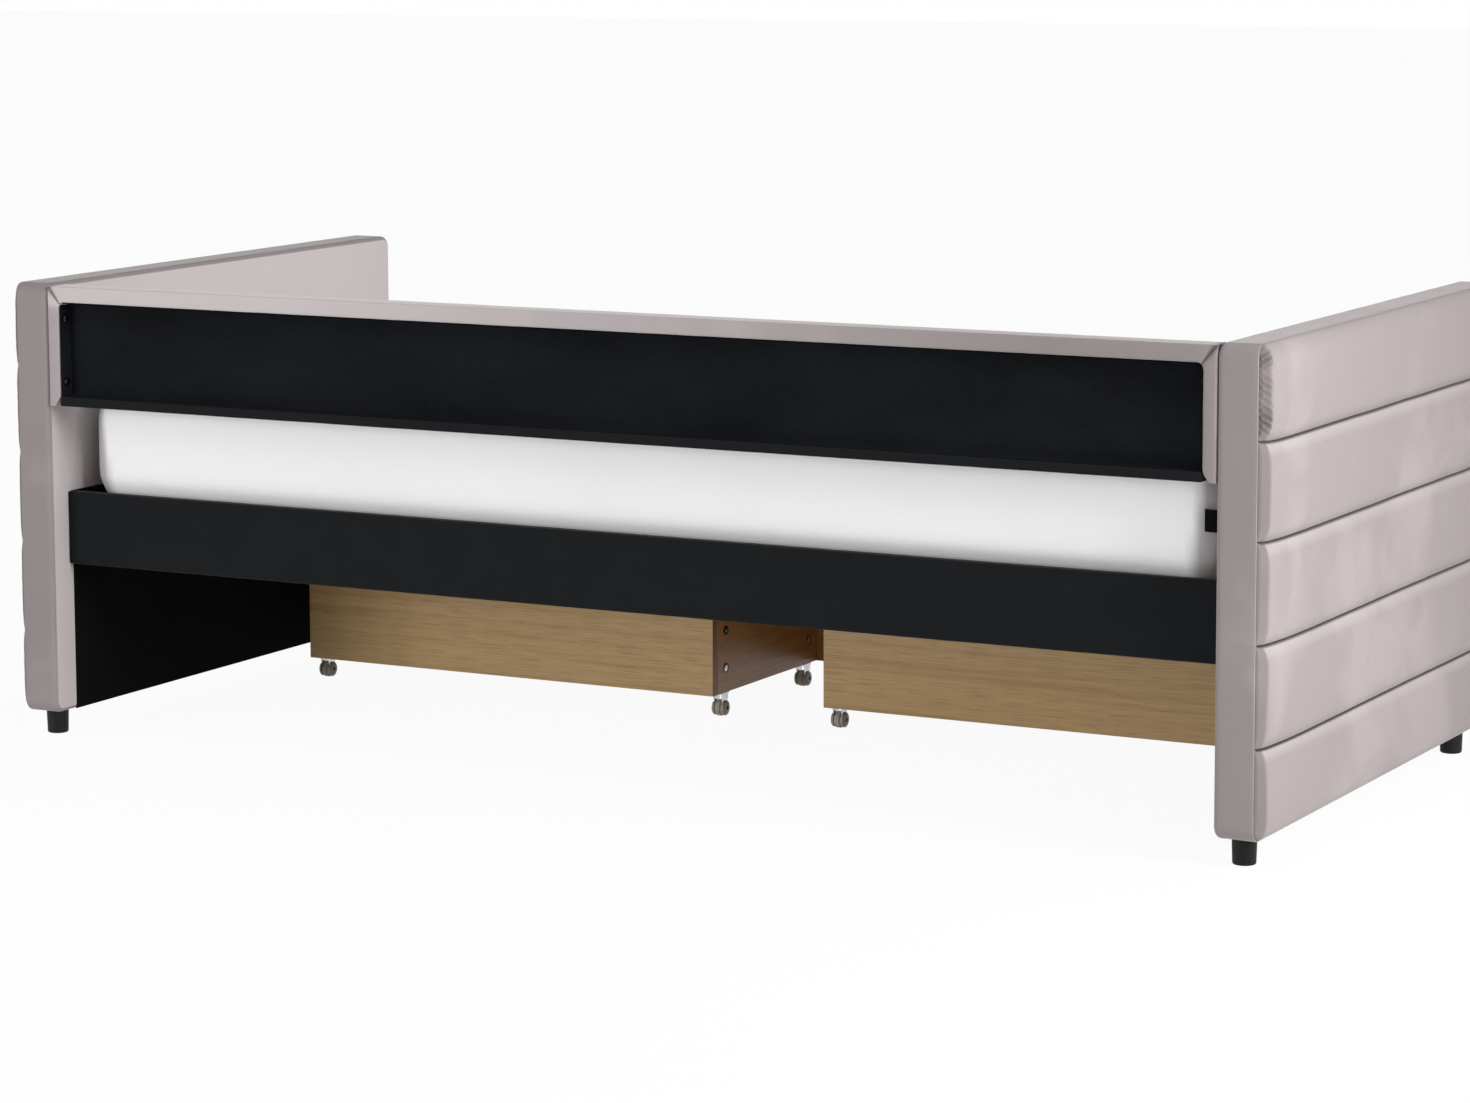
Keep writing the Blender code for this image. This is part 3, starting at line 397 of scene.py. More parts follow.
def black_lining_look():
    """Black non-woven lining: pressed fibres that lie every way, with painted shade towards black where the
    mesh's mark says so.
    """
    look = Look("black_lining", roughness=0.95, specular_ior_level=0.08)
    fibres = look.noise(240, 6, distortion=2.5)
    cloud = look.noise(9, 4, stretch=(0.5, 1, 1))
    shade = look.ramp(look.sum(fibres, cloud), (0.35, srgb(13, 14, 16)), (0.65, srgb(26, 28, 32)))
    # Painted shade: darker towards black where the mesh's mark says so
    look.colour(look.mix(look.mark("painted_shade"), shade, srgb(1, 1, 1)))
    look.bump(fibres, 0.0005, 0.8)
    return look.material


def mattress_look():
    """White knitted mattress cover, with painted shade where it turns away at its ends."""
    look = Look("mattress_cover", roughness=0.85, specular_ior_level=0.25, sheen_weight=0.1)
    knit = look.times(look.bands(0.0022, "X", 0.6), look.bands(0.0028, "Z", 0.6))
    tone = look.sum(knit, look.noise(3, 3), 0.7)
    white = look.ramp(tone, (0.1, srgb(243, 243, 245)), (0.9, srgb(252, 252, 252)))
    # Painted shade at the ends, from the mesh's mark
    look.colour(look.mix(look.mark("painted_shade"), white, srgb(120, 114, 112)))
    look.bump(knit, 0.0003, 0.35)
    look.bump(look.noise(7, 3, stretch=(1, 1, 0.4)), 0.004, 0.25)
    return look.material


def tag_look():
    look = Look("tag_cloth", roughness=0.8, specular_ior_level=0.08)
    weave = look.bands(0.0007, "Z", 0.4)
    look.colour(look.ramp(weave, (0.0, srgb(8, 8, 9)), (1.0, srgb(22, 22, 25))))
    look.bump(weave, 0.0002, 0.6)
    return look.material


def wood_grain(look, along, fine):
    """Grain that runs along one axis, as streaks with finer pores in them."""
    stretch = [fine, fine, fine]
    stretch[along] = 1
    streaks = look.noise(1.6, 9, stretch=stretch, distortion=0.35)
    pore_stretch = [value * 9 for value in stretch]
    pore_stretch[along] = 7
    pores = look.noise(2.2, 3, stretch=pore_stretch)
    return streaks, pores


def oak_foil_look():
    """Board with a light oak foil and a plain darker band glued to its ends."""
    look = Look("oak_foil", roughness=0.42, specular_ior_level=0.4)
    streaks, pores = wood_grain(look, 0, 80)
    broad = look.noise(1.1, 3, stretch=(1, 9, 9), distortion=0.6)
    shades = (
        (0.32, srgb(174, 140, 92)),
        (0.46, srgb(190, 157, 108)),
        (0.58, srgb(197, 165, 116)),
        (0.72, srgb(179, 146, 98)),
    )
    grain = look.ramp(look.sum(streaks, broad, 0.35), *shades)
    flecks = look.ramp(pores, (0.38, (0.6,) * 3), (0.48, (0.0,) * 3))
    grain = look.mix(flecks, grain, srgb(128, 97, 58))
    facing = look.add("SeparateXYZ", {"Vector": look.add("NewGeometry").outputs["Normal"]})
    sideways = look.add("Math", {0: facing.outputs["X"]}, operation="ABSOLUTE").outputs[0]
    band = look.add("Math", {0: sideways, 1: 0.7}, operation="GREATER_THAN").outputs[0]
    look.colour(look.mix(band, grain, srgb(128, 92, 52)))
    look.rough(streaks, 0.36, 0.48)
    look.bump(pores, 0.0002, 0.3)
    return look.material


def brown_foil_look():
    """Board with a warm brown foil, smoother and darker than the oak."""
    values = {"roughness": 0.34, "specular_ior_level": 0.3, "coat_weight": 0.08, "coat_roughness": 0.3}
    look = Look("brown_foil", **values)
    streaks, pores = wood_grain(look, 1, 36)
    shades = ((0.3, srgb(160, 114, 62)), (0.5, srgb(180, 132, 76)), (0.7, srgb(169, 122, 68)))
    flecks = look.ramp(pores, (0.38, (0.3,) * 3), (0.5, (0.0,) * 3))
    look.colour(look.mix(flecks, look.ramp(streaks, *shades), srgb(96, 64, 30)))
    look.rough(streaks, 0.28, 0.4)
    look.bump(pores, 0.0002, 0.25)
    return look.material


def pine_look():
    """Planed pine slats, with growth rings drawn out along the slat."""
    look = Look("pine", roughness=0.55, specular_ior_level=0.35)
    streaks, pores = wood_grain(look, 1, 18)
    rings = look.bands(0.011, "X", 6)
    shades = ((0.25, srgb(206, 172, 122)), (0.5, srgb(222, 192, 146)), (0.8, srgb(188, 150, 98)))
    look.colour(look.ramp(look.sum(streaks, rings, 0.35), *shades))
    look.bump(look.sum(pores, rings), 0.0003, 0.4)
    return look.material


def speckled_look(name, speckle, shades, grain, relief, wear, values):
    """A look with a soft speckle between shades and the relief of a grain.

    The speckle and the grain are (scale, detail, distortion), the relief is (distance, strength), and wear
    is (scale, detail, lowest, highest) for a roughness that varies, or None.
    """
    look = Look(name, **values)
    look.colour(look.ramp(look.noise(*speckle[:2], distortion=speckle[2]), *shades))
    if wear:
        look.rough(look.noise(*wear[:2]), *wear[2:])
    look.bump(look.noise(*grain[:2], distortion=grain[2]), *relief)
    return look.material


SPECKLED = {
    "hardboard": (
        (420, 4, 0), ((0.3, srgb(118, 90, 58)), (0.7, srgb(160, 128, 88))),
        (420, 4, 0), (0.0003, 0.4), None, {"roughness": 0.6},
    ),
    "black_plastic": (
        (30, 3, 0), ((0.3, srgb(8, 8, 9)), (0.7, srgb(15, 15, 16))),
        (900, 3, 0), (0.0002, 0.5), (45, 3, 0.42, 0.6), {"specular_ior_level": 0.2},
    ),
    "black_steel": (
        (600, 3, 0), ((0.3, srgb(14, 14, 15)), (0.7, srgb(26, 26, 28))),
        (600, 3, 0), (0.0003, 0.6), None, {"roughness": 0.45, "specular_ior_level": 0.5},
    ),
    "zinc_steel": (
        (130, 3, 1), ((0.3, srgb(170, 170, 174)), (0.7, srgb(214, 214, 216))),
        (130, 3, 1), (0.0001, 0.4), (240, 3, 0.2, 0.4), {"metallic": 1.0},
    ),
    "dark_zinc": (
        (300, 3, 0), ((0.4, srgb(30, 30, 32)), (0.7, srgb(74, 74, 76))),
        (300, 3, 0), (0.0001, 0.4), (300, 3, 0.25, 0.45), {"metallic": 1.0},
    ),
    "grey_rubber": (
        (160, 3, 0), ((0.3, srgb(160, 156, 146)), (0.7, srgb(184, 180, 169))),
        (1500, 2, 0), (0.0001, 0.4), None, {"roughness": 0.45, "specular_ior_level": 0.4},
    ),
}

LOOKS = {name: speckled_look(name, *values) for name, values in SPECKLED.items()}
LOOKS.update(
    velvet=velvet_look(),
    mattress_cover=mattress_look(),
    tag_cloth=tag_look(),
    black_cloth=black_cloth_look(),
    black_lining=black_lining_look(),
    oak_foil=oak_foil_look(),
    brown_foil=brown_foil_look(),
    pine=pine_look(),
)


class Shape:
    """The points and faces of one piece while it is being made."""

    def __init__(self):
        self.points = []
        self.faces = []

    def grid(self, table, closed=False):
        """Skins a table of points, rows by columns. A closed one joins its last column to its first."""
        rows, columns = table.shape[:2]
        start = len(self.points)
        self.points += [tuple(point) for point in table.reshape(-1, 3)]
        index = start + np.arange(rows * columns).reshape(rows, columns)
        for row in range(rows - 1):
            for column in range(columns if closed else columns - 1):
                after = (column + 1) % columns
                self.faces.append(
                    (index[row, column], index[row, after], index[row + 1, after], index[row + 1, column])
                )
        return index

    def face(self, indices):
        self.faces.append(tuple(indices))

    def mesh(self, name, weld=0.0, outward=True):
        """Makes the mesh, with its faces pointing outwards unless they stay as they are."""
        made = bpy.data.meshes.new(name)
        made.from_pydata(self.points, [], [tuple(int(i) for i in face) for face in self.faces])
        if not outward:
            return made
        bm = bmesh.new()
        bm.from_mesh(made)
        if weld:
            bmesh.ops.remove_doubles(bm, verts=bm.verts, dist=weld)
        bmesh.ops.recalc_face_normals(bm, faces=bm.faces)
        bm.to_mesh(made)
        bm.free()
        return made


def tube(rings):
    """Skins closed rings one after the other and shuts both ends."""
    shape = Shape()
    index = shape.grid(np.array(rings), closed=True)
    shape.face(index[0])
    shape.face(reversed(index[-1]))
    return shape, index


def place_piece(name, mesh, look, body, replaced=(), smooth_angle=50):
    """Puts a finished mesh in the scene with its look, its body and the CAD nodes that it stands for."""
    mesh.shade_smooth()
    mesh.set_sharp_from_angle(angle=math.radians(smooth_angle))
    piece = bpy.data.objects.new(name, mesh)
    bpy.context.scene.collection.objects.link(piece)
    mesh.materials.clear()
    mesh.materials.append(LOOKS[look])
    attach(piece, body)
    if replaced:
        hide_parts(*replaced)
    return piece


def rounded_outline(half_a, half_b, radius, corner_steps, spacing):
    """Points round a rectangle with round corners, as rows of (a, b, outward a, outward b)."""
    inner_a, inner_b = half_a - radius, half_b - radius
    middles = ((inner_a, inner_b), (-inner_a, inner_b), (-inner_a, -inner_b), (inner_a, -inner_b))
    rows = []
    for quarter, (a, b) in enumerate(middles):
        for step in range(corner_steps + 1):
            angle = (quarter + step / corner_steps) * math.pi / 2
            ca, cb = math.cos(angle), math.sin(angle)
            rows.append((a + radius * ca, b + radius * cb, ca, cb))
        to_a, to_b = middles[(quarter + 1) % 4]
        count = max(int(math.hypot(to_a - a, to_b - b) / spacing), 1)
        for step in range(1, count):
            share = step / count
            rows.append((a + share * (to_a - a) + radius * ca, b + share * (to_b - b) + radius * cb, ca, cb))
    return np.array(rows)


def quarter_angles(steps):
    return np.linspace(0, math.pi / 2, steps)


def quarter_rise(share, power=2.0):
    """Rises from 0 to 1 like the quarter of a round, as a share of the way goes from 0 to 1."""
    share = np.clip(share, 0, 1)
    return (1 - (1 - share) ** power) ** (1 / power)


def climb(value, start, reach):
    """0 before the start and 1 from a reach beyond it. A negative reach turns the way round."""
    return np.clip((value - start) / reach, 0, 1)


def ripple(point, size, seed):
    """Smooth noise from -1 to 1."""
    return noise.noise(Vector(point) * (1 / size) + Vector((seed, -seed, 2 * seed)))


def unevenness(point, size, seed):
    """Smooth noise from 0 to 1."""
    return 0.5 + 0.5 * ripple(point, size, seed)


def rippled(y, z, size, seed):
    """Smooth noise at every point of a grid."""
    return np.array([[ripple((0, a, b), size, seed) for a, b in zip(*row)] for row in zip(y, z)])


def mesh_points(mesh):
    flat = np.empty(len(mesh.vertices) * 3)
    mesh.vertices.foreach_get("co", flat)
    return flat.reshape(-1, 3)


def set_share(mesh, name, values):
    """Keeps a number for each point that the looks can read."""
    mesh.attributes.new(name, "FLOAT", "POINT").data.foreach_set("value", values)


def swollen_points(mesh, pinned, limit):
    """Blows a closed mesh up as cloth under air pressure. Pinned points stay, the others keep to a limit."""
    start = mesh_points(mesh)
    piece = bpy.data.objects.new("cloth_form", mesh)
    scene = bpy.context.scene
    scene.collection.objects.link(piece)
    group = piece.vertex_groups.new(name="held")
    group.add([int(i) for i in np.flatnonzero(pinned)], 1.0, "REPLACE")
    cloth = piece.modifiers.new("cloth", "CLOTH")
    cloth.settings.vertex_group_mass = "held"
    cloth.settings.use_pressure = True
    cloth.settings.uniform_pressure_force = CLOTH_PRESSURE
    cloth.settings.effector_weights.gravity = 0
    cloth.settings.quality = CLOTH_QUALITY
    cloth.collision_settings.use_collision = False
    cloth.point_cache.frame_start = 1
    cloth.point_cache.frame_end = CLOTH_FRAMES
    for step in range(1, CLOTH_FRAMES + 1):
        scene.frame_set(step)
    graph = bpy.context.evaluated_depsgraph_get()
    moved = mesh_points(piece.evaluated_get(graph).to_mesh())
    bpy.data.objects.remove(piece, do_unlink=True)
    scene.frame_set(1)
    shift = moved - start
    length = np.linalg.norm(shift, axis=1, keepdims=True)
    return start + shift * np.minimum(1, limit / np.maximum(length, limit / 1000))


# End panels
def strip_profile(inner, outer, sign):
    """The wrapped edge of an end panel from its inner face to the cover's seam, as rows of (x, inset)."""
    lip = outer + sign * STRIP_RISE
    start = inner + sign * PANEL_RIM_RADIUS
    end = lip - sign * STRIP_LIP_RADIUS
    rows = [
        (start - sign * PANEL_RIM_RADIUS * math.cos(a), PANEL_RIM_RADIUS * (1 - math.sin(a)))
        for a in quarter_angles(9)
    ]
    rows += [(start + share * (end - start), 0.0) for share in np.linspace(0, 1, 9)[1:]]
    rows += [
        (end + sign * STRIP_LIP_RADIUS * math.sin(a), STRIP_LIP_RADIUS * (1 - math.cos(a)))
        for a in quarter_angles(5)[1:]
    ]
    return rows + [(lip, STRIP_LIP), (outer, STRIP_LIP)]


def recessed(mesh, name, start, end):
    """Cuts a box between two corners out of a mesh."""
    box = Shape()
    box.points = list(itertools.product(*zip(start, end)))
    for face in ((0, 1, 3, 2), (4, 6, 7, 5), (0, 4, 5, 1), (2, 3, 7, 6), (0, 2, 6, 4), (1, 5, 7, 3)):
        box.face(face)
    helper = bpy.data.objects.new("recess_form", box.mesh("recess_form"))
    carrier = bpy.data.objects.new("wrap_form", mesh)
    for each in (helper, carrier):
        bpy.context.scene.collection.objects.link(each)
    cutter = carrier.modifiers.new("recess", "BOOLEAN")
    cutter.operation = "DIFFERENCE"
    cutter.object = helper
    graph = bpy.context.evaluated_depsgraph_get()
    baked = bpy.data.meshes.new_from_object(carrier.evaluated_get(graph))
    bpy.data.objects.remove(helper, do_unlink=True)
    bpy.data.objects.remove(carrier, do_unlink=True)
    baked.name = name
    return baked


def end_wrap(side, sign):
    """The end panel's plain velvet: inner face and edges, with the recess for its lining, painted shade
    along its top and painted light on its inner face.
    """
    name = side + "_end_wrap"
    low, high = corners(side + "_end_panel")
    inner, outer = (low.x, high.x) if sign > 0 else (high.x, low.x)
    middle, half = (low + high) / 2, (high - low) / 2
    rings = []
    for x, inset in strip_profile(inner, outer, sign):
        on_strip = abs(x - inner) > PANEL_RIM_RADIUS / 2 and inset < STRIP_LIP_RADIUS / 2
        radius = PANEL_CORNER_RADIUS - inset
        rings.append([])
        for a, b, na, nb in rounded_outline(half.y - inset, half.z - inset, radius, 10, PANEL_STEP):
            point = Vector((x, middle.y + a, middle.z + b))
            if on_strip:
                lift = STRIP_RIPPLE * ripple(point, STRIP_RIPPLE_SIZE, 3 + sign)
                point += Vector((0, na, nb)) * lift
            rings[-1].append(tuple(point))
    shape, _ = tube(rings)
    lining_top = corners(side + "_end_lining")[1].z
    start = (inner - sign * RECESS_REACH, low.y + LINING_BORDER, low.z - RECESS_REACH)
    end = (inner + sign * LINING_RECESS, high.y - LINING_BORDER, lining_top + COVER_GAP)
    mesh = recessed(shape.mesh(name), name, start, end)
    points = mesh_points(mesh)
    # Painted shade along the panel's top
    set_share(mesh, "painted_shade", TOP_PAINTED_SHADE * climb(points[:, 2], high.z - 0.0016, 0.0006))
    # Painted light on the panel's inner face
    set_share(mesh, "painted_light", INNER_PAINTED_LIGHT * (np.abs(points[:, 0] - inner) < 0.0005))
    piece = place_piece(name, mesh, "velvet", "bed", [side + "_end_panel"], 40)


def cover_columns(low_y, high_y, fine):
    """Places along the cover from its front to its back, closer together towards both ends."""
    length = high_y - low_y
    if fine:
        near = np.concatenate([np.linspace(0, 0.02, 15), np.linspace(0.0225, 0.09, 28)])
        step = 0.007
    else:
        near = np.array([0, 0.003, 0.008, 0.014, 0.021, 0.03])
        step = 0.012
    count = int((length - 2 * near[-1]) / step)
    middle = np.linspace(near[-1], length - near[-1], count)[1:-1]
    return low_y + np.concatenate([near, middle, length - near[::-1]])


def cover_shares(fine):
    """Places across a channel from -1 at its lower seam to 1 at its upper, closer together at both."""
    steps = 20 if fine else 7
    half = (np.arange(steps + 1) / steps) ** 1.55
    return np.concatenate([half - 1, 1 - half[:-1][::-1]])[:-1]


def chamfer(share):
    """Rises from 0 to 1 first steeply, then along a slant with a crisp shoulder."""
    slant = share / (1 + np.maximum(share, 0) ** CHAMFER_POWER) ** (1 / CHAMFER_POWER)
    return CHAMFER_STEP * quarter_rise(share / CHAMFER_STEP_REACH) + (1 - CHAMFER_STEP) * slant


def cover_table(low, high, sign, fine):
    """The cover's outer face as a grid, and what the marks on it are measured by.

    Gives the plane behind it, its thickness, y, z, its rows (a channel's number and the share of the way
    across it), the distances from the nearest seam and end, and which points lie at its outer edges.
    """
    y_places = cover_columns(low.y + STRIP_LIP + COVER_GAP, high.y - STRIP_LIP - COVER_GAP, fine)
    rows = [(channel, share) for channel in range(CHANNELS) for share in cover_shares(fine)]
    rows.append((CHANNELS - 1, 1.0))
    channel, share = (np.array(column)[:, None] for column in zip(*rows))
    y = y_places[None, :] + 0 * share
    end_distance = np.minimum(y - y_places[0], y_places[-1] - y)
    bounds = np.array([low.z + STRIP_LIP + COVER_GAP, *SEAM_HEIGHTS, high.z - COVER_GAP])
    radius = PANEL_CORNER_RADIUS - STRIP_LIP - COVER_GAP
    lost = radius - np.sqrt(np.maximum(radius ** 2 - np.maximum(radius - end_distance, 0) ** 2, 0))
    lift = SEAM_END_LIFT * np.exp(-end_distance / SEAM_END_REACH)
    channel_low = bounds[channel] + np.where(channel == 0, lost, lift)
    channel_high = bounds[channel + 1] - np.where(channel == CHANNELS - 1, lost, -lift)
    z = channel_low + (channel_high - channel_low) * (1 + share) / 2
    seam_distance = (1 - np.abs(share)) * (channel_high - channel_low) / 2
    border = ((channel == 0) & (share < 0)) | ((channel == CHANNELS - 1) & (share > 0))
    crown = PILLOW_CROWN * (1 - share ** 2)
    slit = COVER_SEAM + SEAM_SHOULDER * quarter_rise(seam_distance / SEAM_SLIT, SEAM_SLIT_POWER)
    between = slit + PILLOW_RISE * quarter_rise(seam_distance / PILLOW_RISE_RADIUS) + crown
    swollen = COVER_SEAM + SEAM_SHOULDER + PILLOW_RISE - COVER_EDGE
    outermost = COVER_EDGE + swollen * quarter_rise(seam_distance / PILLOW_BORDER_RADIUS) + crown
    full = np.where(border, outermost, between)
    edge = np.minimum(full, COVER_EDGE)
    thickness = edge + (full - edge) * chamfer(end_distance / PILLOW_END_DEPTH)
    inner = low.x if sign > 0 else high.x
    return inner, thickness, y, z, channel + (1 + share) / 2, seam_distance, end_distance, border


def end_gathers(y, z, high, end_distance):
    """Where the top channel's end is gathered into the back seam: a mask low down and one near its top, for
    the gathers' relief and painted shade.
    """
    lowest = SEAM_HEIGHTS[-1]
    up = (z - lowest) / (high.z - lowest)
    where = climb(end_distance, GATHER_REACH, -0.005) * climb(end_distance, 0, 0.0015) * (y > 0)

    def around(place, size):
        return np.exp(-(((up - place) / size) ** 2))

    return where * (around(0.24, 0.13) + 0.35 * around(0.58, 0.14)), 0.7 * where * around(0.86, 0.08)


def closed_cover(inner, sign, thickness, y, z):
    """Closes the cover's outer face with a wall down to its back and a flat back."""
    table = np.stack([inner + sign * thickness, y, z], axis=-1)
    padded = np.pad(table, ((1, 1), (1, 1), (0, 0)), mode="edge")
    padded[[0, -1], :, 0] = inner
    padded[:, [0, -1], 0] = inner
    shape = Shape()
    index = shape.grid(padded)
    shape.face([*index[0, 1:-1], *index[1:-1, -1], *index[-1, 1:-1][::-1], *index[1:-1, 0][::-1]])
    return shape, index[1:-1, 1:-1]


def cover_swell():
    """How far the channels swell as cloth, as a coarse table over rows and places along the cover."""
    low, high = corners("right_end_cover")
    inner, thickness, y, z, row, seam_distance, end_distance, _ = cover_table(low, high, 1, False)
    shape, index = closed_cover(inner, 1, thickness, y, z)
    pinned = np.ones(len(shape.points), bool)
    pinned[index[(seam_distance > 0.0005) & (end_distance > 0.001)]] = False
    moved = swollen_points(shape.mesh("cover_form"), pinned, PILLOW_SWELL_LIMIT)
    swell = (moved - np.array(shape.points))[index, 0]
    return row[:, 0], y[0], np.clip(swell, 0, PILLOW_SWELL_LIMIT)


def resample(rows, columns, table, new_rows, new_columns):
    """Reads a table at new places, first along its rows and then along its columns."""
    across = np.array([np.interp(new_rows, rows, table[:, c]) for c in range(len(columns))]).T
    return np.array([np.interp(new_columns, columns, line) for line in across])


def creases(y, z, marks):
    """How deep the creases are at each point. A mark is (y, z, direction, length, width, depth)."""
    depth_here = np.zeros_like(y)
    for crease_y, crease_z, angle, length, width, depth in marks:
        along = (y - crease_y) * math.cos(angle) + (z - crease_z) * math.sin(angle)
        across = -(y - crease_y) * math.sin(angle) + (z - crease_z) * math.cos(angle)
        fade = np.clip(1 - along / length, 0, 1) ** 1.5 * np.clip(1 + along / (width * 2), 0, 1)
        depth_here += depth * fade * np.exp(-((across / width) ** 2))
    return depth_here


def cover_creases(low, high, rng):
    """Puckers along the seams, and gathers where the channels are sewn in at the ends."""
    marks = []
    bounds = (low.z, *SEAM_HEIGHTS, high.z)
    for z in SEAM_HEIGHTS:
        y = low.y + PUCKER_SPACING
        while y < high.y - PUCKER_SPACING:
            for way in (1, -1):
                if rng.random() < 0.75:
                    angle = way * math.pi / 2 + rng.uniform(-0.5, 0.5)
                    length = PUCKER_LENGTH * rng.uniform(0.5, 1.6)
                    depth = PUCKER_DEPTH * rng.uniform(0.3, 1.2)
                    marks.append((y + rng.uniform(-0.01, 0.01), z, angle, length, PUCKER_WIDTH, depth))
            y += PUCKER_SPACING * rng.uniform(0.6, 1.5)
    for channel in range(CHANNELS):
        count = 9 if channel == CHANNELS - 1 else 5
        for end, heading in ((high.y, math.pi), (low.y, 0.0)):
            for _ in range(count):
                z = bounds[channel] + rng.uniform(0.08, 0.92) * (bounds[channel + 1] - bounds[channel])
                angle = heading + rng.uniform(-0.5, 0.5)
                length = GATHER_LENGTH * rng.uniform(0.5, 1.4)
                depth = GATHER_DEPTH * rng.uniform(0.3, 1.0)
                marks.append((end, z, angle, length, GATHER_WIDTH * rng.uniform(0.8, 1.5), depth))
    return marks


def cover_marks(low, high, y, z, row, seam_distance, end_distance, border, soft):
    """What the velvet look reads on a cover: painted shade in the seam slits, over the channels' ends, near
    the top, towards the front and along each channel's lower edge, and a painted highlight along each
    channel's upper edge.
    """
    inside = end_distance > PILLOW_END_DEPTH
    share = 2 * (row - np.floor(row)) - 1
    slits = climb(seam_distance, SEAM_SHADE_SLITS * SEAM_SLIT, -SEAM_SLIT)
    # Painted shade in the seam slits
    with_painted_shade = np.where(border, 0, slits) * climb(end_distance, 0, 0.003)
    ragged = PILLOW_END_DEPTH + 0.0015 + 0.004 * soft
    # Painted shade over the channels' ends
    painted_tone = END_PAINTED_SHADE * climb(end_distance, ragged, -0.005)
    # Painted shade along each channel's lower edge, under the bulge above
    under = UNDER_PAINTED_SHADE * climb(share, -0.76, -0.22) ** 1.5 * inside
    # Painted shade near the top
    towards_top = UPPER_PAINTED_SHADE * climb(z, high.z - 0.036, 0.030)
    # Painted shade growing towards the front
    towards_front = FRONT_PAINTED_SHADE * climb(y, high.y, low.y - high.y)
    # Painted highlight along each channel's upper edge
    over = OVER_PAINTED_LIGHT * climb(share, 0.72, 0.2) * inside * ~border
    return {"painted_shade": np.maximum.reduce([with_painted_shade, painted_tone, towards_top, towards_front + under]), "painted_light": over}


def end_cover(side, sign, swell):
    """The outer cover: five stuffed channels between closed seams, gathered where they are sewn in, with
    marks for painted shade and painted light.
    """
    low, high = corners(side + "_end_cover")
    inner, thickness, y, z, row, seam_distance, end_distance, border = cover_table(low, high, sign, True)
    depth = creases(y, z, cover_creases(low, high, random.Random(11 + sign)))
    soft = rippled(y, z, PILLOW_RIPPLE_SIZE, 5 + sign)
    gathers = end_gathers(y, z, high, end_distance)
    taut = climb(seam_distance, 0, 0.004) * climb(end_distance, 0, 0.003)
    lift = PILLOW_SWELL_SHARE * resample(*swell, row[:, 0], y[0])
    thickness = thickness + taut * (lift - depth + PILLOW_RIPPLE * soft)
    wander = SEAM_WANDER * rippled(y, 0.3 * z, WANDER_SIZE, 9 + sign)
    for distance in (end_distance, z - low.z, high.z - z):
        wander *= climb(distance, 0, WANDER_CLEARANCE)
    z = z + wander
    # Marks for the velvet look's painted shade and painted light
    marks = cover_marks(low, high, y, z, row, seam_distance, end_distance, border, soft)
    marks["gather_low"], marks["gather_high"] = gathers
    shape, index = closed_cover(inner, sign, thickness, y, z)
    mesh = shape.mesh(side + "_channel_cover")
    for name, values in marks.items():
        kept = np.zeros(len(shape.points))
        kept[index] = values
        set_share(mesh, name, kept)
    piece = place_piece(side + "_channel_cover", mesh, "velvet", "bed", [side + "_end_cover"], 75)


# Boards under cloth
def wrapped_board(name, node, radius, look, seed):
    """A long board with cloth drawn round it: soft edges, slightly uneven faces, closed ends."""
    low, high = corners(node)
    middle, half = (low + high) / 2, (high - low) / 2
    length = high.x - low.x
    ends = [BOARD_END_RADIUS * (1 - math.cos(a)) for a in quarter_angles(5)]
    count = max(int(length / SURFACE_STEP), 2)
    places = ends + list(np.linspace(ends[-1], length - ends[-1], count)[1:-1])
    places += [length - place for place in reversed(ends)]
    rings = []
    for place in places:
        short = BOARD_END_RADIUS - min(place, length - place, BOARD_END_RADIUS)
        inset = BOARD_END_RADIUS - math.sqrt(max(BOARD_END_RADIUS ** 2 - short ** 2, 0))
        rings.append([])
        for a, b, na, nb in rounded_outline(half.y, half.z, radius, 6, SURFACE_STEP):
            a, b = a - na * inset, b - nb * inset
            sink = BOARD_RIPPLE * unevenness((place, a, b), RIPPLE_SIZE, seed)
            rings[-1].append((low.x + place, middle.y + a - na * sink, middle.z + b - nb * sink))
    shape, _ = tube(rings)
    piece = place_piece(name, shape.mesh(name), look, "bed", [node], 60)


def rounded_box(sizes, radius, crown, spacing, flat_base=False):
    """A closed cushion of quads from z = 0 up, with round edges, or with a flat base and a round top."""
    half_a, half_b, height = sizes[0] / 2, sizes[1] / 2, sizes[2] - crown
    bend = radius * np.tan(np.linspace(0, math.pi / 4, 5))

    def places(low, high, round_low):
        inner_low = low + radius if round_low else low
        count = max(int((high - radius - inner_low) / spacing), 1)
        middle = np.linspace(inner_low, high - radius, count + 1)
        start = list(inner_low - bend[:0:-1]) if round_low else []
        return np.array(start + list(middle) + list(high - radius + bend[1:]))

    sides = (places(-half_a, half_a, True), places(-half_b, half_b, True), places(0, height, not flat_base))
    shape = Shape()
    for axis, (down, across) in enumerate(((1, 2), (0, 2), (0, 1))):
        table = np.empty((len(sides[down]), len(sides[across]), 3))
        table[..., down] = sides[down][:, None]
        table[..., across] = sides[across][None, :]
        for end in (0, -1):
            table[..., axis] = sides[axis][end]
            shape.grid(table)
    points = np.array(shape.points)
    inner_low = np.array([-half_a + radius, -half_b + radius, 0 if flat_base else radius])
    inner_high = np.array([half_a - radius, half_b - radius, height - radius])
    core = np.clip(points, inner_low, inner_high)
    away = points - core
    length = np.linalg.norm(away, axis=1, keepdims=True)
    points = core + away / np.maximum(length, 1e-9) * np.minimum(length * 1e6, radius)
    rise = crown * (1 - (points[:, 0] / half_a) ** 4) * (1 - (points[:, 1] / half_b) ** 2)
    points[:, 2] += rise * np.clip(points[:, 2] / height, 0, 1) ** 2
    shape.points = [tuple(point) for point in points]
    return shape


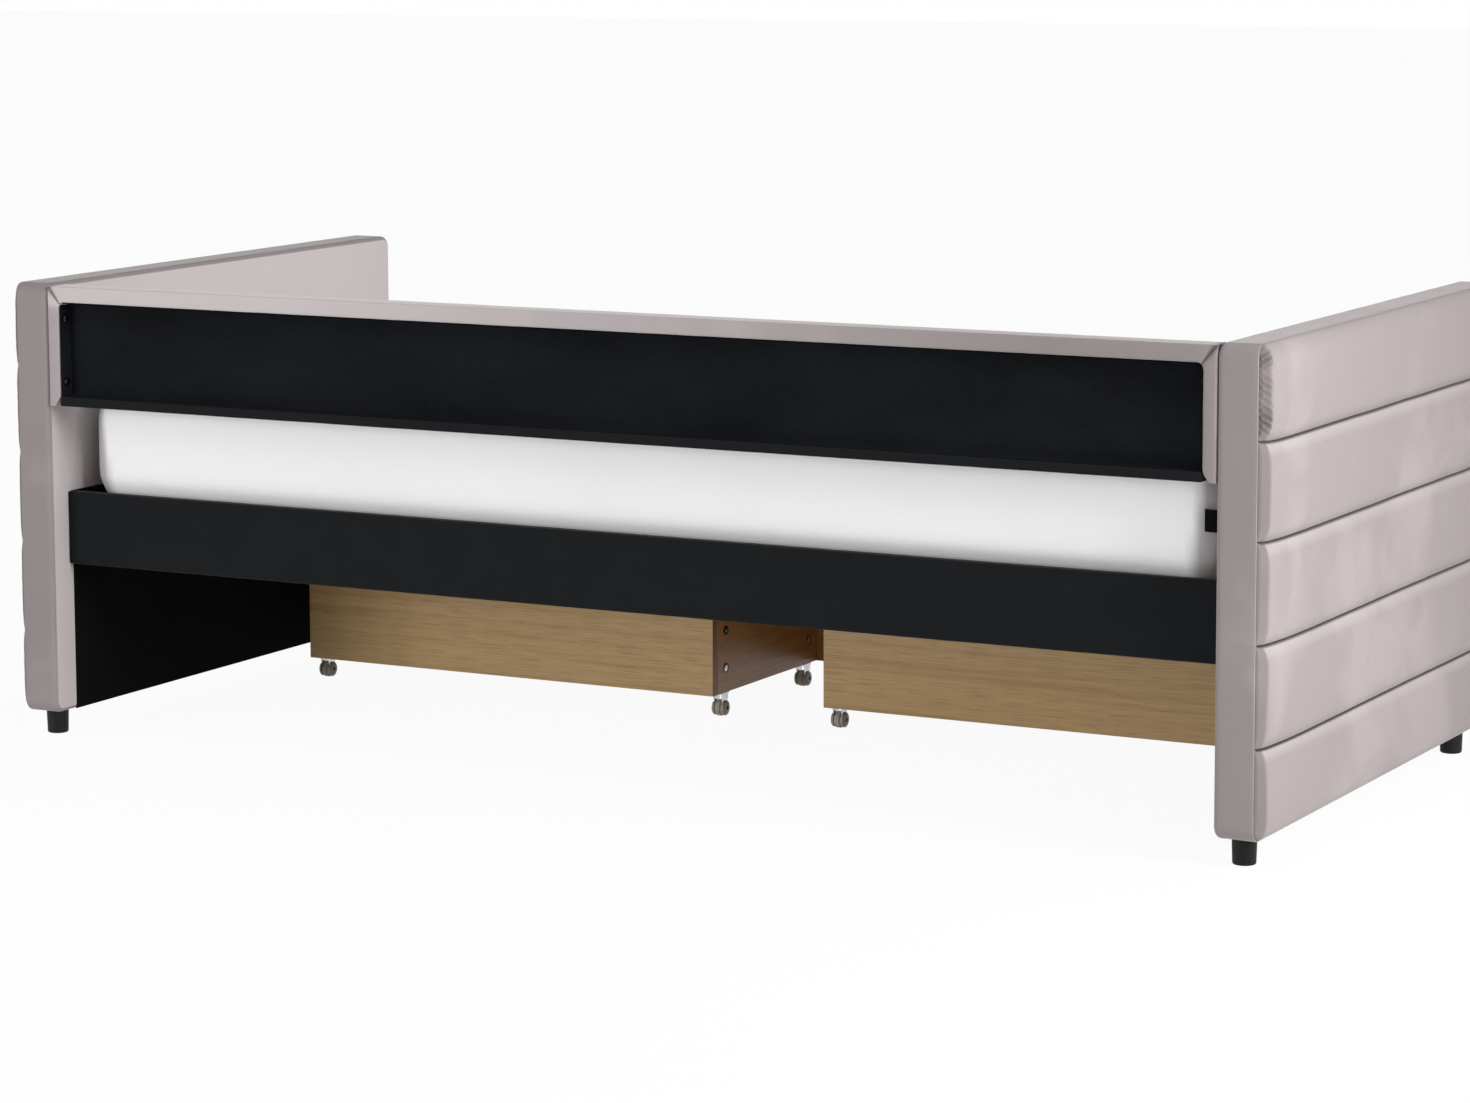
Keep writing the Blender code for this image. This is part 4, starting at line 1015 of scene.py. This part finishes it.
def soft_cushion(name, shape, held_height, limit, look, body, replaced, placed, fill, shaded_ends=False):
    """Swells a cushion above a height as cloth, smooths it once and puts it in place."""
    mesh = shape.mesh(name, WELD)
    points = swollen_points(mesh, mesh_points(mesh)[:, 2] < held_height, limit)
    smooth = bpy.data.meshes.new(name)
    faces = [tuple(p.vertices) for p in mesh.polygons]
    smooth.from_pydata([tuple(placed @ Vector(point)) for point in points], [], faces)
    # Painted shade at both ends, reaching further in low down
    if shaded_ends:
        half, _, height = points.max(axis=0)
        width = MATTRESS_SHADE_WIDTH + MATTRESS_SHADE_SPREAD * (1 - points[:, 2] / height)
        shade = climb(np.abs(points[:, 0]), half - width, MATTRESS_SHADE_FADE)
        set_share(smooth, "painted_shade", MATTRESS_SHADE_SHARE * shade)
    piece = place_piece(name, smooth, look, body, replaced, 180)
    finer = piece.modifiers.new("finer", "SUBSURF")
    finer.levels = finer.render_levels = 1


def mattress():
    low, high = corners("mattress")
    middle = (low + high) / 2
    sizes = (high.x - low.x, high.y - low.y, high.z - low.z)
    shape = rounded_box(sizes, MATTRESS_RADIUS, MATTRESS_CROWN, MATTRESS_STEP)
    placed = Matrix.Translation((middle.x, middle.y, low.z))
    held = (MATTRESS_HELD_HEIGHT, MATTRESS_SWELL_LIMIT)
    named = ("mattress_cover", "mattress", ["mattress"])
    soft_cushion("mattress_body", shape, *held, *named, placed, 0.95, True)


def edge_loop(index):
    """The points round the edge of a grid, once round, with the first one again at the end."""
    return [*index[0], *index[1:, -1], *index[-1, :-1][::-1], *index[:-1, 0][::-1]]


def mattress_tag():
    """A blank folded tag sewn into the side seam, bent a little away from the mattress."""
    low, high = corners("mattress_tag")
    height = high.z - low.z + TAG_STRETCH
    bed_low, bed_high = corners("mattress")
    corner = Vector((bed_low.x + MATTRESS_RADIUS, bed_high.y - MATTRESS_RADIUS, (low.z + high.z) / 2))
    facing = Vector((-math.cos(TAG_PLACE), math.sin(TAG_PLACE), 0))
    middle = corner + facing * (MATTRESS_RADIUS + TAG_STAND)
    along = Vector((math.cos(TAG_LEAN), math.sin(TAG_LEAN), 0))
    outward = Vector((-math.sin(TAG_LEAN), math.cos(TAG_LEAN), 0))
    shape = Shape()
    loops = []
    for way in (1, -1):
        table = np.empty((9, 7, 3))
        for row, share in enumerate(np.linspace(-0.5, 0.5, 9)):
            stand = TAG_BEND * (math.cos(share * math.pi) - 0.5) + way * TAG_HALF_THICKNESS
            level_point = middle + along * share * TAG_WIDTH + outward * stand
            for column, level in enumerate(np.linspace(-0.5, 0.5, 7)):
                up = level * height + TAG_STRETCH / 2 + TAG_SLANT * share * TAG_WIDTH
                table[row, column] = level_point + Vector((0, 0, up))
        loops.append(edge_loop(shape.grid(table)))
    front, back = loops
    for a, b, c, d in zip(front, front[1:], back[1:], back):
        shape.face((a, b, c, d))
    piece = place_piece("blank_tag", shape.mesh("blank_tag"), "tag_cloth", "mattress", ["mattress_tag"])


def frame_stations(base, inner, outer, inner_top, outer_top):
    """Cuts across the backrest's frame from a side board's foot to the frame's middle.

    Each is its inner (x, z), its outer (x, z) and how deep its crease is.
    """
    r_in, r_out = BACKREST_INNER_CORNER, BACKREST_OUTER_CORNER
    stations = []
    for z in [*np.linspace(base, base + 0.02, 8), *np.linspace(base + 0.02, inner_top - r_in, 18)[1:]]:
        cut = NOSE_CUT * np.clip(1 - (z - base) / NOSE_REACH, 0, 1) ** 1.5
        stations.append(((inner + cut, z), (outer, z), 0.0))
    for step in range(1, 12):
        angle = step / 12 * math.pi / 2
        inside = (inner - r_in + r_in * math.cos(angle), inner_top - r_in + r_in * math.sin(angle))
        share = step / 6
        if step < 6:
            outside = (outer, inner_top - r_in + share * (outer_top - r_out - inner_top + r_in))
        elif step == 6:
            outside = (outer - 0.3 * r_out, outer_top - 0.3 * r_out)
        else:
            outside = (outer - r_out - (share - 1) * (outer - r_out - inner + r_in), outer_top)
        stations.append((inside, outside, math.exp(-(((step - 6) / 1.2) ** 2))))
    stations += [((x, inner_top), (x, outer_top), 0.0) for x in np.linspace(inner - r_in, 0, 60)]
    mirrored = [((-i[0], i[1]), (-o[0], o[1]), crease) for i, o, crease in reversed(stations[:-1])]
    return stations + mirrored


def backrest_frame():
    """Velvet drawn round the backrest's top and side boards in one run, with creases at its two mitres,
    painted shade in the creases and painted light growing towards +X and on the top board.
    """
    boards = ["backrest_top_board", "backrest_left_board", "backrest_right_board"]
    (top_low, top_high), (_, left_high), (right_low, right_high) = (corners(board) for board in boards)
    outer = max(left_high.x, right_high.x, top_high.x)
    inner = min(abs(left_high.x), abs(right_low.x))
    front, back = min(top_low.y, right_low.y), top_high.y
    stations = frame_stations(right_low.z, inner, outer, top_low.z, top_high.z)
    rings = []
    for order, ((ix, iz), (ox, oz), crease) in enumerate(stations):
        width = math.hypot(ox - ix, oz - iz)
        ax, az = (ox - ix) / width, (oz - iz) / width
        ring = []
        for a, b, na, nb in rounded_outline(
            width / 2, (back - front) / 2, BACKREST_EDGE_RADIUS, 6, BACKREST_STEP
        ):
            sink = MITRE_DEPTH * crease if abs(nb) > 0.5 else 0.0
            sink += BOARD_RIPPLE * unevenness((order * 0.03, a, b), RIPPLE_SIZE, 17)
            a, b = a - na * sink + width / 2, b - nb * sink
            ring.append((ix + ax * a, (front + back) / 2 + b, iz + az * a))
        rings.append(ring)
    fewest = min(len(ring) for ring in rings)
    rings = [[ring[round(k * (len(ring) - 1) / (fewest - 1))] for k in range(fewest)] for ring in rings]
    shape, index = tube(rings)
    mesh = shape.mesh("backrest_wrap")
    # Painted shade in the mitre creases
    painted_shade = np.zeros(len(shape.points))
    for row, (_, _, crease) in enumerate(stations):
        painted_shade[index[row]] = MITRE_SHADE_SHARE * crease ** 3
    set_share(mesh, "painted_shade", painted_shade)
    # Painted light, growing towards +X and strongest on the top board
    x_places, _, z_places = np.array(shape.points).T
    level = 0.35 + 0.65 * climb(z_places, top_low.z - 0.012, 0.010)
    set_share(mesh, "painted_light", BAND_PAINTED_LIGHT * level * climb(x_places, -0.75, 1.3))
    piece = place_piece("backrest_wrap", mesh, "velvet", "bed", boards, 60)


def backrest():
    """The velvet round the backrest's frame, its black lower board and its front pad."""
    backrest_frame()
    wrapped_board("backrest_bottom_wrap", "backrest_bottom_board", BLACK_EDGE_RADIUS, "black_cloth", 7)
    low, high = corners("backrest_pad")
    sizes = (high.x - low.x, high.z - low.z, high.y - low.y)
    shape = rounded_box(sizes, PAD_RADIUS, PAD_CROWN, SURFACE_STEP, True)
    placed = facing_front(((low.x + high.x) / 2, high.y, (low.z + high.z) / 2))
    held = (PAD_HELD_HEIGHT, SOFT_SWELL_LIMIT)
    soft_cushion("backrest_cushion", shape, *held, "velvet", "bed", ["backrest_pad"], placed, 0.8)


def facing_front(place):
    """Turns a cushion's top to the front and takes it to its place."""
    return Matrix.Translation(place) @ Matrix.Rotation(math.pi / 2, 4, "X")


def rails():
    wrapped_board("rear_rail_wrap", "rear_rail", REAR_RAIL_RADIUS, "black_cloth", 12)
    wrapped_board("front_rail_wrap", "front_rail", FRONT_RAIL_RADIUS, "velvet", 14)


def drawer_front(side):
    """The padded velvet front of a drawer and the cloth that wraps back over its board's edges."""
    low, high = corners(side + "_drawer_cover")
    drawer = side + "_drawer"
    middle = (low + high) / 2
    sizes = (high.x - low.x, high.z - low.z, DRAWER_PAD)
    shape = rounded_box(sizes, DRAWER_RIM_RADIUS, 0, SURFACE_STEP, True)
    placed = facing_front((middle.x, low.y + DRAWER_PAD + DRAWER_CROWN, middle.z))
    held = (PAD_HELD_HEIGHT, DRAWER_CROWN)
    soft_cushion(drawer + "_front", shape, *held, "velvet", drawer, [drawer + "_cover"], placed, 0.85)
    depth = high.y - low.y
    half_a, half_b = sizes[0] / 2, sizes[1] / 2
    profile = [(0.0, DRAWER_PAD), (0.0, depth - 0.001), (0.001, depth), (DRAWER_WRAP, depth)]
    profile += [(DRAWER_WRAP, DRAWER_PAD + DRAWER_CROWN), (0.0, DRAWER_PAD)]
    outline = rounded_outline(half_a, half_b, DRAWER_WRAP_RADIUS, 4, SURFACE_STEP)
    rings = []
    for inset, back in profile:
        share_a, share_b = (half_a - inset) / half_a, (half_b - inset) / half_b
        ring = [(middle.x + a * share_a, low.y + back, middle.z + b * share_b) for a, b, _, _ in outline]
        rings.append(ring)
    wrap = Shape()
    wrap.grid(np.array(rings), closed=True)
    piece = place_piece(drawer + "_wrap", wrap.mesh(drawer + "_wrap", WELD), "velvet", drawer)


def end_lining(side, sign):
    """The black lining stretched over the lower inner face of an end panel, with painted shade over all of
    it.
    """
    low, high = corners(side + "_end_lining")
    surface = (low.x if sign > 0 else high.x) + sign * 0.0003
    y_places, z_places = (
        np.pad(np.linspace(start, end, int((end - start) / SURFACE_STEP) + 1), 1, mode="edge")
        for start, end in ((low.y, high.y), (low.z, high.z))
    )
    table = np.empty((len(z_places), len(y_places), 3))
    table[..., 0] = surface + sign * LINING_THICKNESS
    table[..., 1] = y_places[None, :]
    table[..., 2] = z_places[:, None]
    for row in table[1:-1, 1:-1]:
        for point in row:
            wave = LINING_WAVE * unevenness((0, point[1], point[2]), 0.09, 21 + sign)
            point[0] = surface + sign * wave
    shape = Shape()
    shape.grid(table)
    mesh = shape.mesh(side + "_panel_lining")
    # Painted shade over the whole end lining
    set_share(mesh, "painted_shade", np.full(len(shape.points), LINING_SHADE_SHARE))
    piece = place_piece(side + "_panel_lining", mesh, "black_lining", "bed", [side + "_end_lining"], 80)


def backrest_lining():
    """The lining in the backrest's open back, drawn over its panel and up its walls."""
    low, high = corners("backrest_lining")
    corner, sheet = BACK_LINING_CORNER, BACK_LINING_THICKNESS
    floor_y = low.y + sheet
    depth = high.y - floor_y
    lower, upper = low.z + sheet, high.z - sheet
    profile = [(high.y, lower), (high.y - depth / 2, lower)]
    for a in quarter_angles(5):
        profile.append((floor_y + corner * (1 - math.sin(a)), lower + corner * (1 - math.cos(a))))
    profile += [(floor_y, lower + (upper - lower) * share) for share in np.linspace(0, 1, 11)[1:-1]]
    for a in quarter_angles(5):
        profile.append((floor_y + corner * (1 - math.cos(a)), upper - corner * (1 - math.sin(a))))
    profile += [(high.y - depth / 2, upper), (high.y, upper)]
    x_places = np.linspace(low.x + sheet, high.x - sheet, 140)
    table = np.empty((len(profile), len(x_places), 3))
    for row, (y, z) in enumerate(profile):
        wave = 2 * LINING_WAVE if y < floor_y + corner / 2 else 0
        for column, x in enumerate(x_places):
            table[row, column] = (x, y + wave * unevenness((x, 0, z), 0.08, 31), z)
    shape = Shape()
    shape.grid(table)
    for x in (x_places[0], x_places[-1]):
        y_places, z_places = np.linspace(floor_y, high.y, 5), np.linspace(lower, upper, 12)
        shape.grid(np.array([[(x, y, z) for y in y_places] for z in z_places]))
    made = shape.mesh("backrest_back_lining", outward=False)
    piece = place_piece("backrest_back_lining", made, "black_lining", "bed", ["backrest_lining"], 60)


# Small fittings
def turned(profile, steps=24):
    """Spins rows of (radius, height) about Z."""
    angles = [2 * math.pi * step / steps for step in range(steps)]
    round_points = np.array([(math.cos(a), math.sin(a), 0) for a in angles])
    return tube([radius * round_points + (0, 0, height) for radius, height in profile])[0]


def dome(radius, rise, steps, base=0.0):
    """The profile of a dome from its rim to a tiny flat at its top."""
    rows = [(radius * math.cos(a), base + rise * math.sin(a)) for a in quarter_angles(steps)[:-1]]
    return rows + [(TIP_RADIUS, base + rise)]


def caster_hoods():
    """Grey domed hoods beside each wheel, open at the top for the bracket's legs, with dark axle spots."""
    hub = dome(HUB_RADIUS, HUB_RISE, 8, HAIR)
    spot = [(AXLE_CAP_RADIUS, AXLE_CAP_ROOT)] + dome(AXLE_CAP_RADIUS, AXLE_CAP_RISE, 6)
    for (side, _), place, (hand, _) in itertools.product(SIDES, ("rear", "front"), SIDES):
        low, high = corners(f"{side}_drawer_fork_{place}_{hand}")
        wheel_low, wheel_high = corners(f"{side}_drawer_wheel_{place}_{hand}")
        axle_y = (wheel_low.y + wheel_high.y) / 2
        spots, hubs = [], []
        for sign, face, inner in ((-1, low.x, wheel_low.x), (1, high.x, wheel_high.x)):
            turn = Matrix.Rotation(sign * math.pi / 2, 4, "Y")
            hubs.append((turned(hub), Matrix.Translation((face, axle_y, AXLE_HEIGHT)) @ turn))
            skirt = hood_skirt(face + sign * HAIR, inner + sign * HAIR)
            hubs.append((skirt, Matrix.Translation((0, axle_y, AXLE_HEIGHT))))
            rise = Matrix.Translation((face + sign * (HUB_RISE - HAIR), axle_y, AXLE_HEIGHT))
            spots.append((turned(spot), rise @ turn))
        for kind, parts, look in (("axle_spots", spots, "black_plastic"), ("hoods", hubs, "grey_rubber")):
            gathered_piece(f"{side}_{kind}_{place}_{hand}", parts, look, side + "_drawer")


def hood_skirt(outer_x, inner_x):
    """The hood's rim between its dome and the wheel, round the axle but for the opening at the top."""
    section = [(outer_x, HUB_RADIUS), (inner_x, HUB_RADIUS)]
    section += [(x, HUB_RADIUS - HOOD_THICKNESS) for x in (inner_x, outer_x)]
    angles = np.linspace(HOOD_OPENING, 2 * math.pi - HOOD_OPENING, 28)
    return tube([[(x, r * math.sin(a), r * math.cos(a)) for x, r in section] for a in angles])[0]


def gathered_piece(name, shapes, look, body):
    """Joins placed shapes into one piece."""
    combined = Shape()
    for shape, placed in shapes:
        start = len(combined.points)
        combined.points += [tuple(placed @ Vector(point)) for point in shape.points]
        combined.faces += [tuple(int(i) + start for i in face) for face in shape.faces]
    place_piece(name, combined.mesh(name), look, body)


def cam_fittings():
    """Caps over the side boards' fittings: bright ones low down, dark ones with a bright middle above."""
    disc = [(CAP_RADIUS, -HAIR), (CAP_RADIUS, CAP_RISE * 0.4), (CAP_RADIUS * 0.8, CAP_RISE * 0.8)]
    disc += [(CAP_RADIUS * 0.4, CAP_RISE), (HAIR, CAP_RISE)]
    inner = CAP_RADIUS + 0.0001
    ring = [(CAP_RING_RADIUS, -HAIR), (CAP_RING_RADIUS, CAP_RING_RISE * 0.7)]
    ring += [(CAP_RING_RADIUS - 2 * HAIR, CAP_RING_RISE), (inner + HAIR, CAP_RING_RISE)]
    ring += [(inner, CAP_RING_RISE * 0.7), (inner, -HAIR)]
    glint = [(GLINT_RADIUS, CAP_RISE * 0.9), (GLINT_RADIUS, CAP_RISE + 0.0003), (HAIR, CAP_RISE + 0.0005)]
    for (side, _), (hand, outward) in itertools.product(SIDES, SIDES):
        low, high = corners(f"{side}_drawer_{hand}_board")
        face_x = low.x if outward < 0 else high.x
        turn = Matrix.Rotation(outward * math.pi / 2, 4, "Y")
        bright, dark = [], []
        for row in range(2):
            z = low.z + FITTING_LOW_HEIGHT + row * FITTING_SPACING
            for y in (high.y - FITTING_END_DISTANCE, low.y + FITTING_END_DISTANCE):
                placed = Matrix.Translation((face_x, y, z)) @ turn
                (dark if row else bright).append((turned(disc), placed))
                dark.append((turned(ring), placed))
                if row:
                    bright.append((turned(glint), placed))
        for tone, parts, look in (("bright", bright, "zinc_steel"), ("dark", dark, "black_plastic")):
            gathered_piece(f"{side}_{tone}_caps_{hand}", parts, look, side + "_drawer")


def slat_tapes():
    """The woven tapes that keep the slats apart, over the slats' tops."""
    low, high = corners("slat_base")
    middle = (low.y + high.y) / 2
    top = high.z + HAIR
    x_places = np.linspace(low.x - HAIR, high.x + HAIR, 160)
    for index, offset in enumerate((-TAPE_SPREAD / 2, TAPE_SPREAD / 2)):
        y0, y1 = (middle + offset + way * (TAPE_WIDTH / 2 + HAIR) for way in (-1, 1))
        section = ((y0, top - TAPE_DROP), (y0, top), (y1, top), (y1, top - TAPE_DROP))
        shape = Shape()
        shape.grid(np.array([[(x, y, z) for y, z in section] for x in x_places]))
        made = shape.mesh(f"slat_tape_{index}", outward=False)
        piece = place_piece(f"slat_tape_{index}", made, "black_cloth", "bed")


def repaint_nodes():
    """Gives every CAD node the finish that the record names for it, but the backrest's bolts a dark zinc."""
    for row in frame["record"]["subparts"]:
        node = frame["nodes"][row["node"]]
        if not node.material_slots:
            node.data.materials.append(None)
        dark = row["node"].startswith("backrest_bolt")
        for holder in node.material_slots:
            holder.material = LOOKS["dark_zinc" if dark else row["material_slot"]]


def camera():
    forward = Vector((
        math.sin(CAMERA_YAW) * math.cos(CAMERA_PITCH),
        -math.cos(CAMERA_YAW) * math.cos(CAMERA_PITCH),
        -math.sin(CAMERA_PITCH),
    ))
    right = forward.cross(Vector((0, 0, 1))).normalized()
    up = right.cross(forward)
    rolled_right = math.cos(CAMERA_ROLL) * right + math.sin(CAMERA_ROLL) * up
    rolled_up = -math.sin(CAMERA_ROLL) * right + math.cos(CAMERA_ROLL) * up
    lens = bpy.data.cameras.new("camera")
    lens.sensor_width = SENSOR_WIDTH
    lens.lens = FOCAL_PIXELS / PHOTO_WIDTH * SENSOR_WIDTH
    lens.shift_x = (PHOTO_WIDTH / 2 - PRINCIPAL_POINT[0]) / PHOTO_WIDTH
    lens.shift_y = (PRINCIPAL_POINT[1] - PHOTO_HEIGHT / 2) / PHOTO_WIDTH
    holder = bpy.data.objects.new("camera", lens)
    bpy.context.scene.collection.objects.link(holder)
    turn = Matrix((rolled_right, rolled_up, -forward)).transposed().to_4x4()
    holder.matrix_world = Matrix.Translation(CAMERA_PLACE) @ turn
    bpy.context.scene.camera = holder


def area_lamp(name, place, size, power):
    lamp = bpy.data.lights.new(name, "AREA")
    lamp.shape = "DISK"
    lamp.size = size
    lamp.energy = power
    holder = bpy.data.objects.new(name, lamp)
    holder.location = place
    aim = Vector(LAMP_TARGET) - Vector(place)
    holder.rotation_euler = aim.to_track_quat("-Z", "Y").to_euler()
    bpy.context.scene.collection.objects.link(holder)


def surroundings():
    """White where they are seen, and dimmer as a source of light."""
    world = bpy.data.worlds.new("studio")
    bpy.context.scene.world = world
    tree = Tree(world)
    white = (1, 1, 1, 1)
    shown = tree.add("Background", {"Color": white})
    lit = tree.add("Background", {"Color": white, "Strength": AMBIENT})
    seen = tree.seen_by("Is Camera Ray", "Is Glossy Ray", "Is Transmission Ray")
    mixed = tree.add("MixShader", {"Fac": seen, 1: lit.outputs[0], 2: shown.outputs[0]})
    tree.add("OutputWorld", {"Surface": mixed.outputs[0]})


def studio_floor():
    """A pale floor that glows a little where it is seen and keeps the object's shadow."""
    shape = Shape()
    shape.points = [
        (x * FLOOR_HALF, y * FLOOR_HALF, -FLOOR_DROP) for x, y in ((-1, -1), (1, -1), (1, 1), (-1, 1))
    ]
    shape.face((0, 1, 2, 3))
    floor = bpy.data.objects.new("floor", shape.mesh("floor"))
    bpy.context.scene.collection.objects.link(floor)
    look = bpy.data.materials.new("floor")
    tree = Tree(look)
    diffuse = tree.add("BsdfDiffuse", {"Color": (FLOOR_GREY, FLOOR_GREY, FLOOR_GREY, 1)})
    glow = tree.add("Emission")
    seen = tree.seen_by("Is Camera Ray", "Is Glossy Ray")
    share = tree.add("Math", {0: seen, 1: FLOOR_GLOW_SHARE}, operation="MULTIPLY")
    mixed = tree.add("MixShader", {"Fac": share.outputs[0], 1: diffuse.outputs[0], 2: glow.outputs[0]})
    tree.add("OutputMaterial", {"Surface": mixed.outputs[0]})
    floor.data.materials.append(look)


def studio():
    bpy.context.scene.view_settings.view_transform = "Standard"
    surroundings()
    area_lamp("key", KEY_PLACE, KEY_SIZE, KEY_POWER)
    area_lamp("fill", FILL_PLACE, FILL_SIZE, FILL_POWER)
    studio_floor()


def dress():
    camera()
    studio()
    repaint_nodes()
    swell = cover_swell()
    for side, sign in SIDES:
        end_wrap(side, sign)
        end_cover(side, sign, swell)
        end_lining(side, sign)
        drawer_front(side)
    backrest()
    backrest_lining()
    rails()
    mattress()
    mattress_tag()
    caster_hoods()
    cam_fittings()
    slat_tapes()


dress()
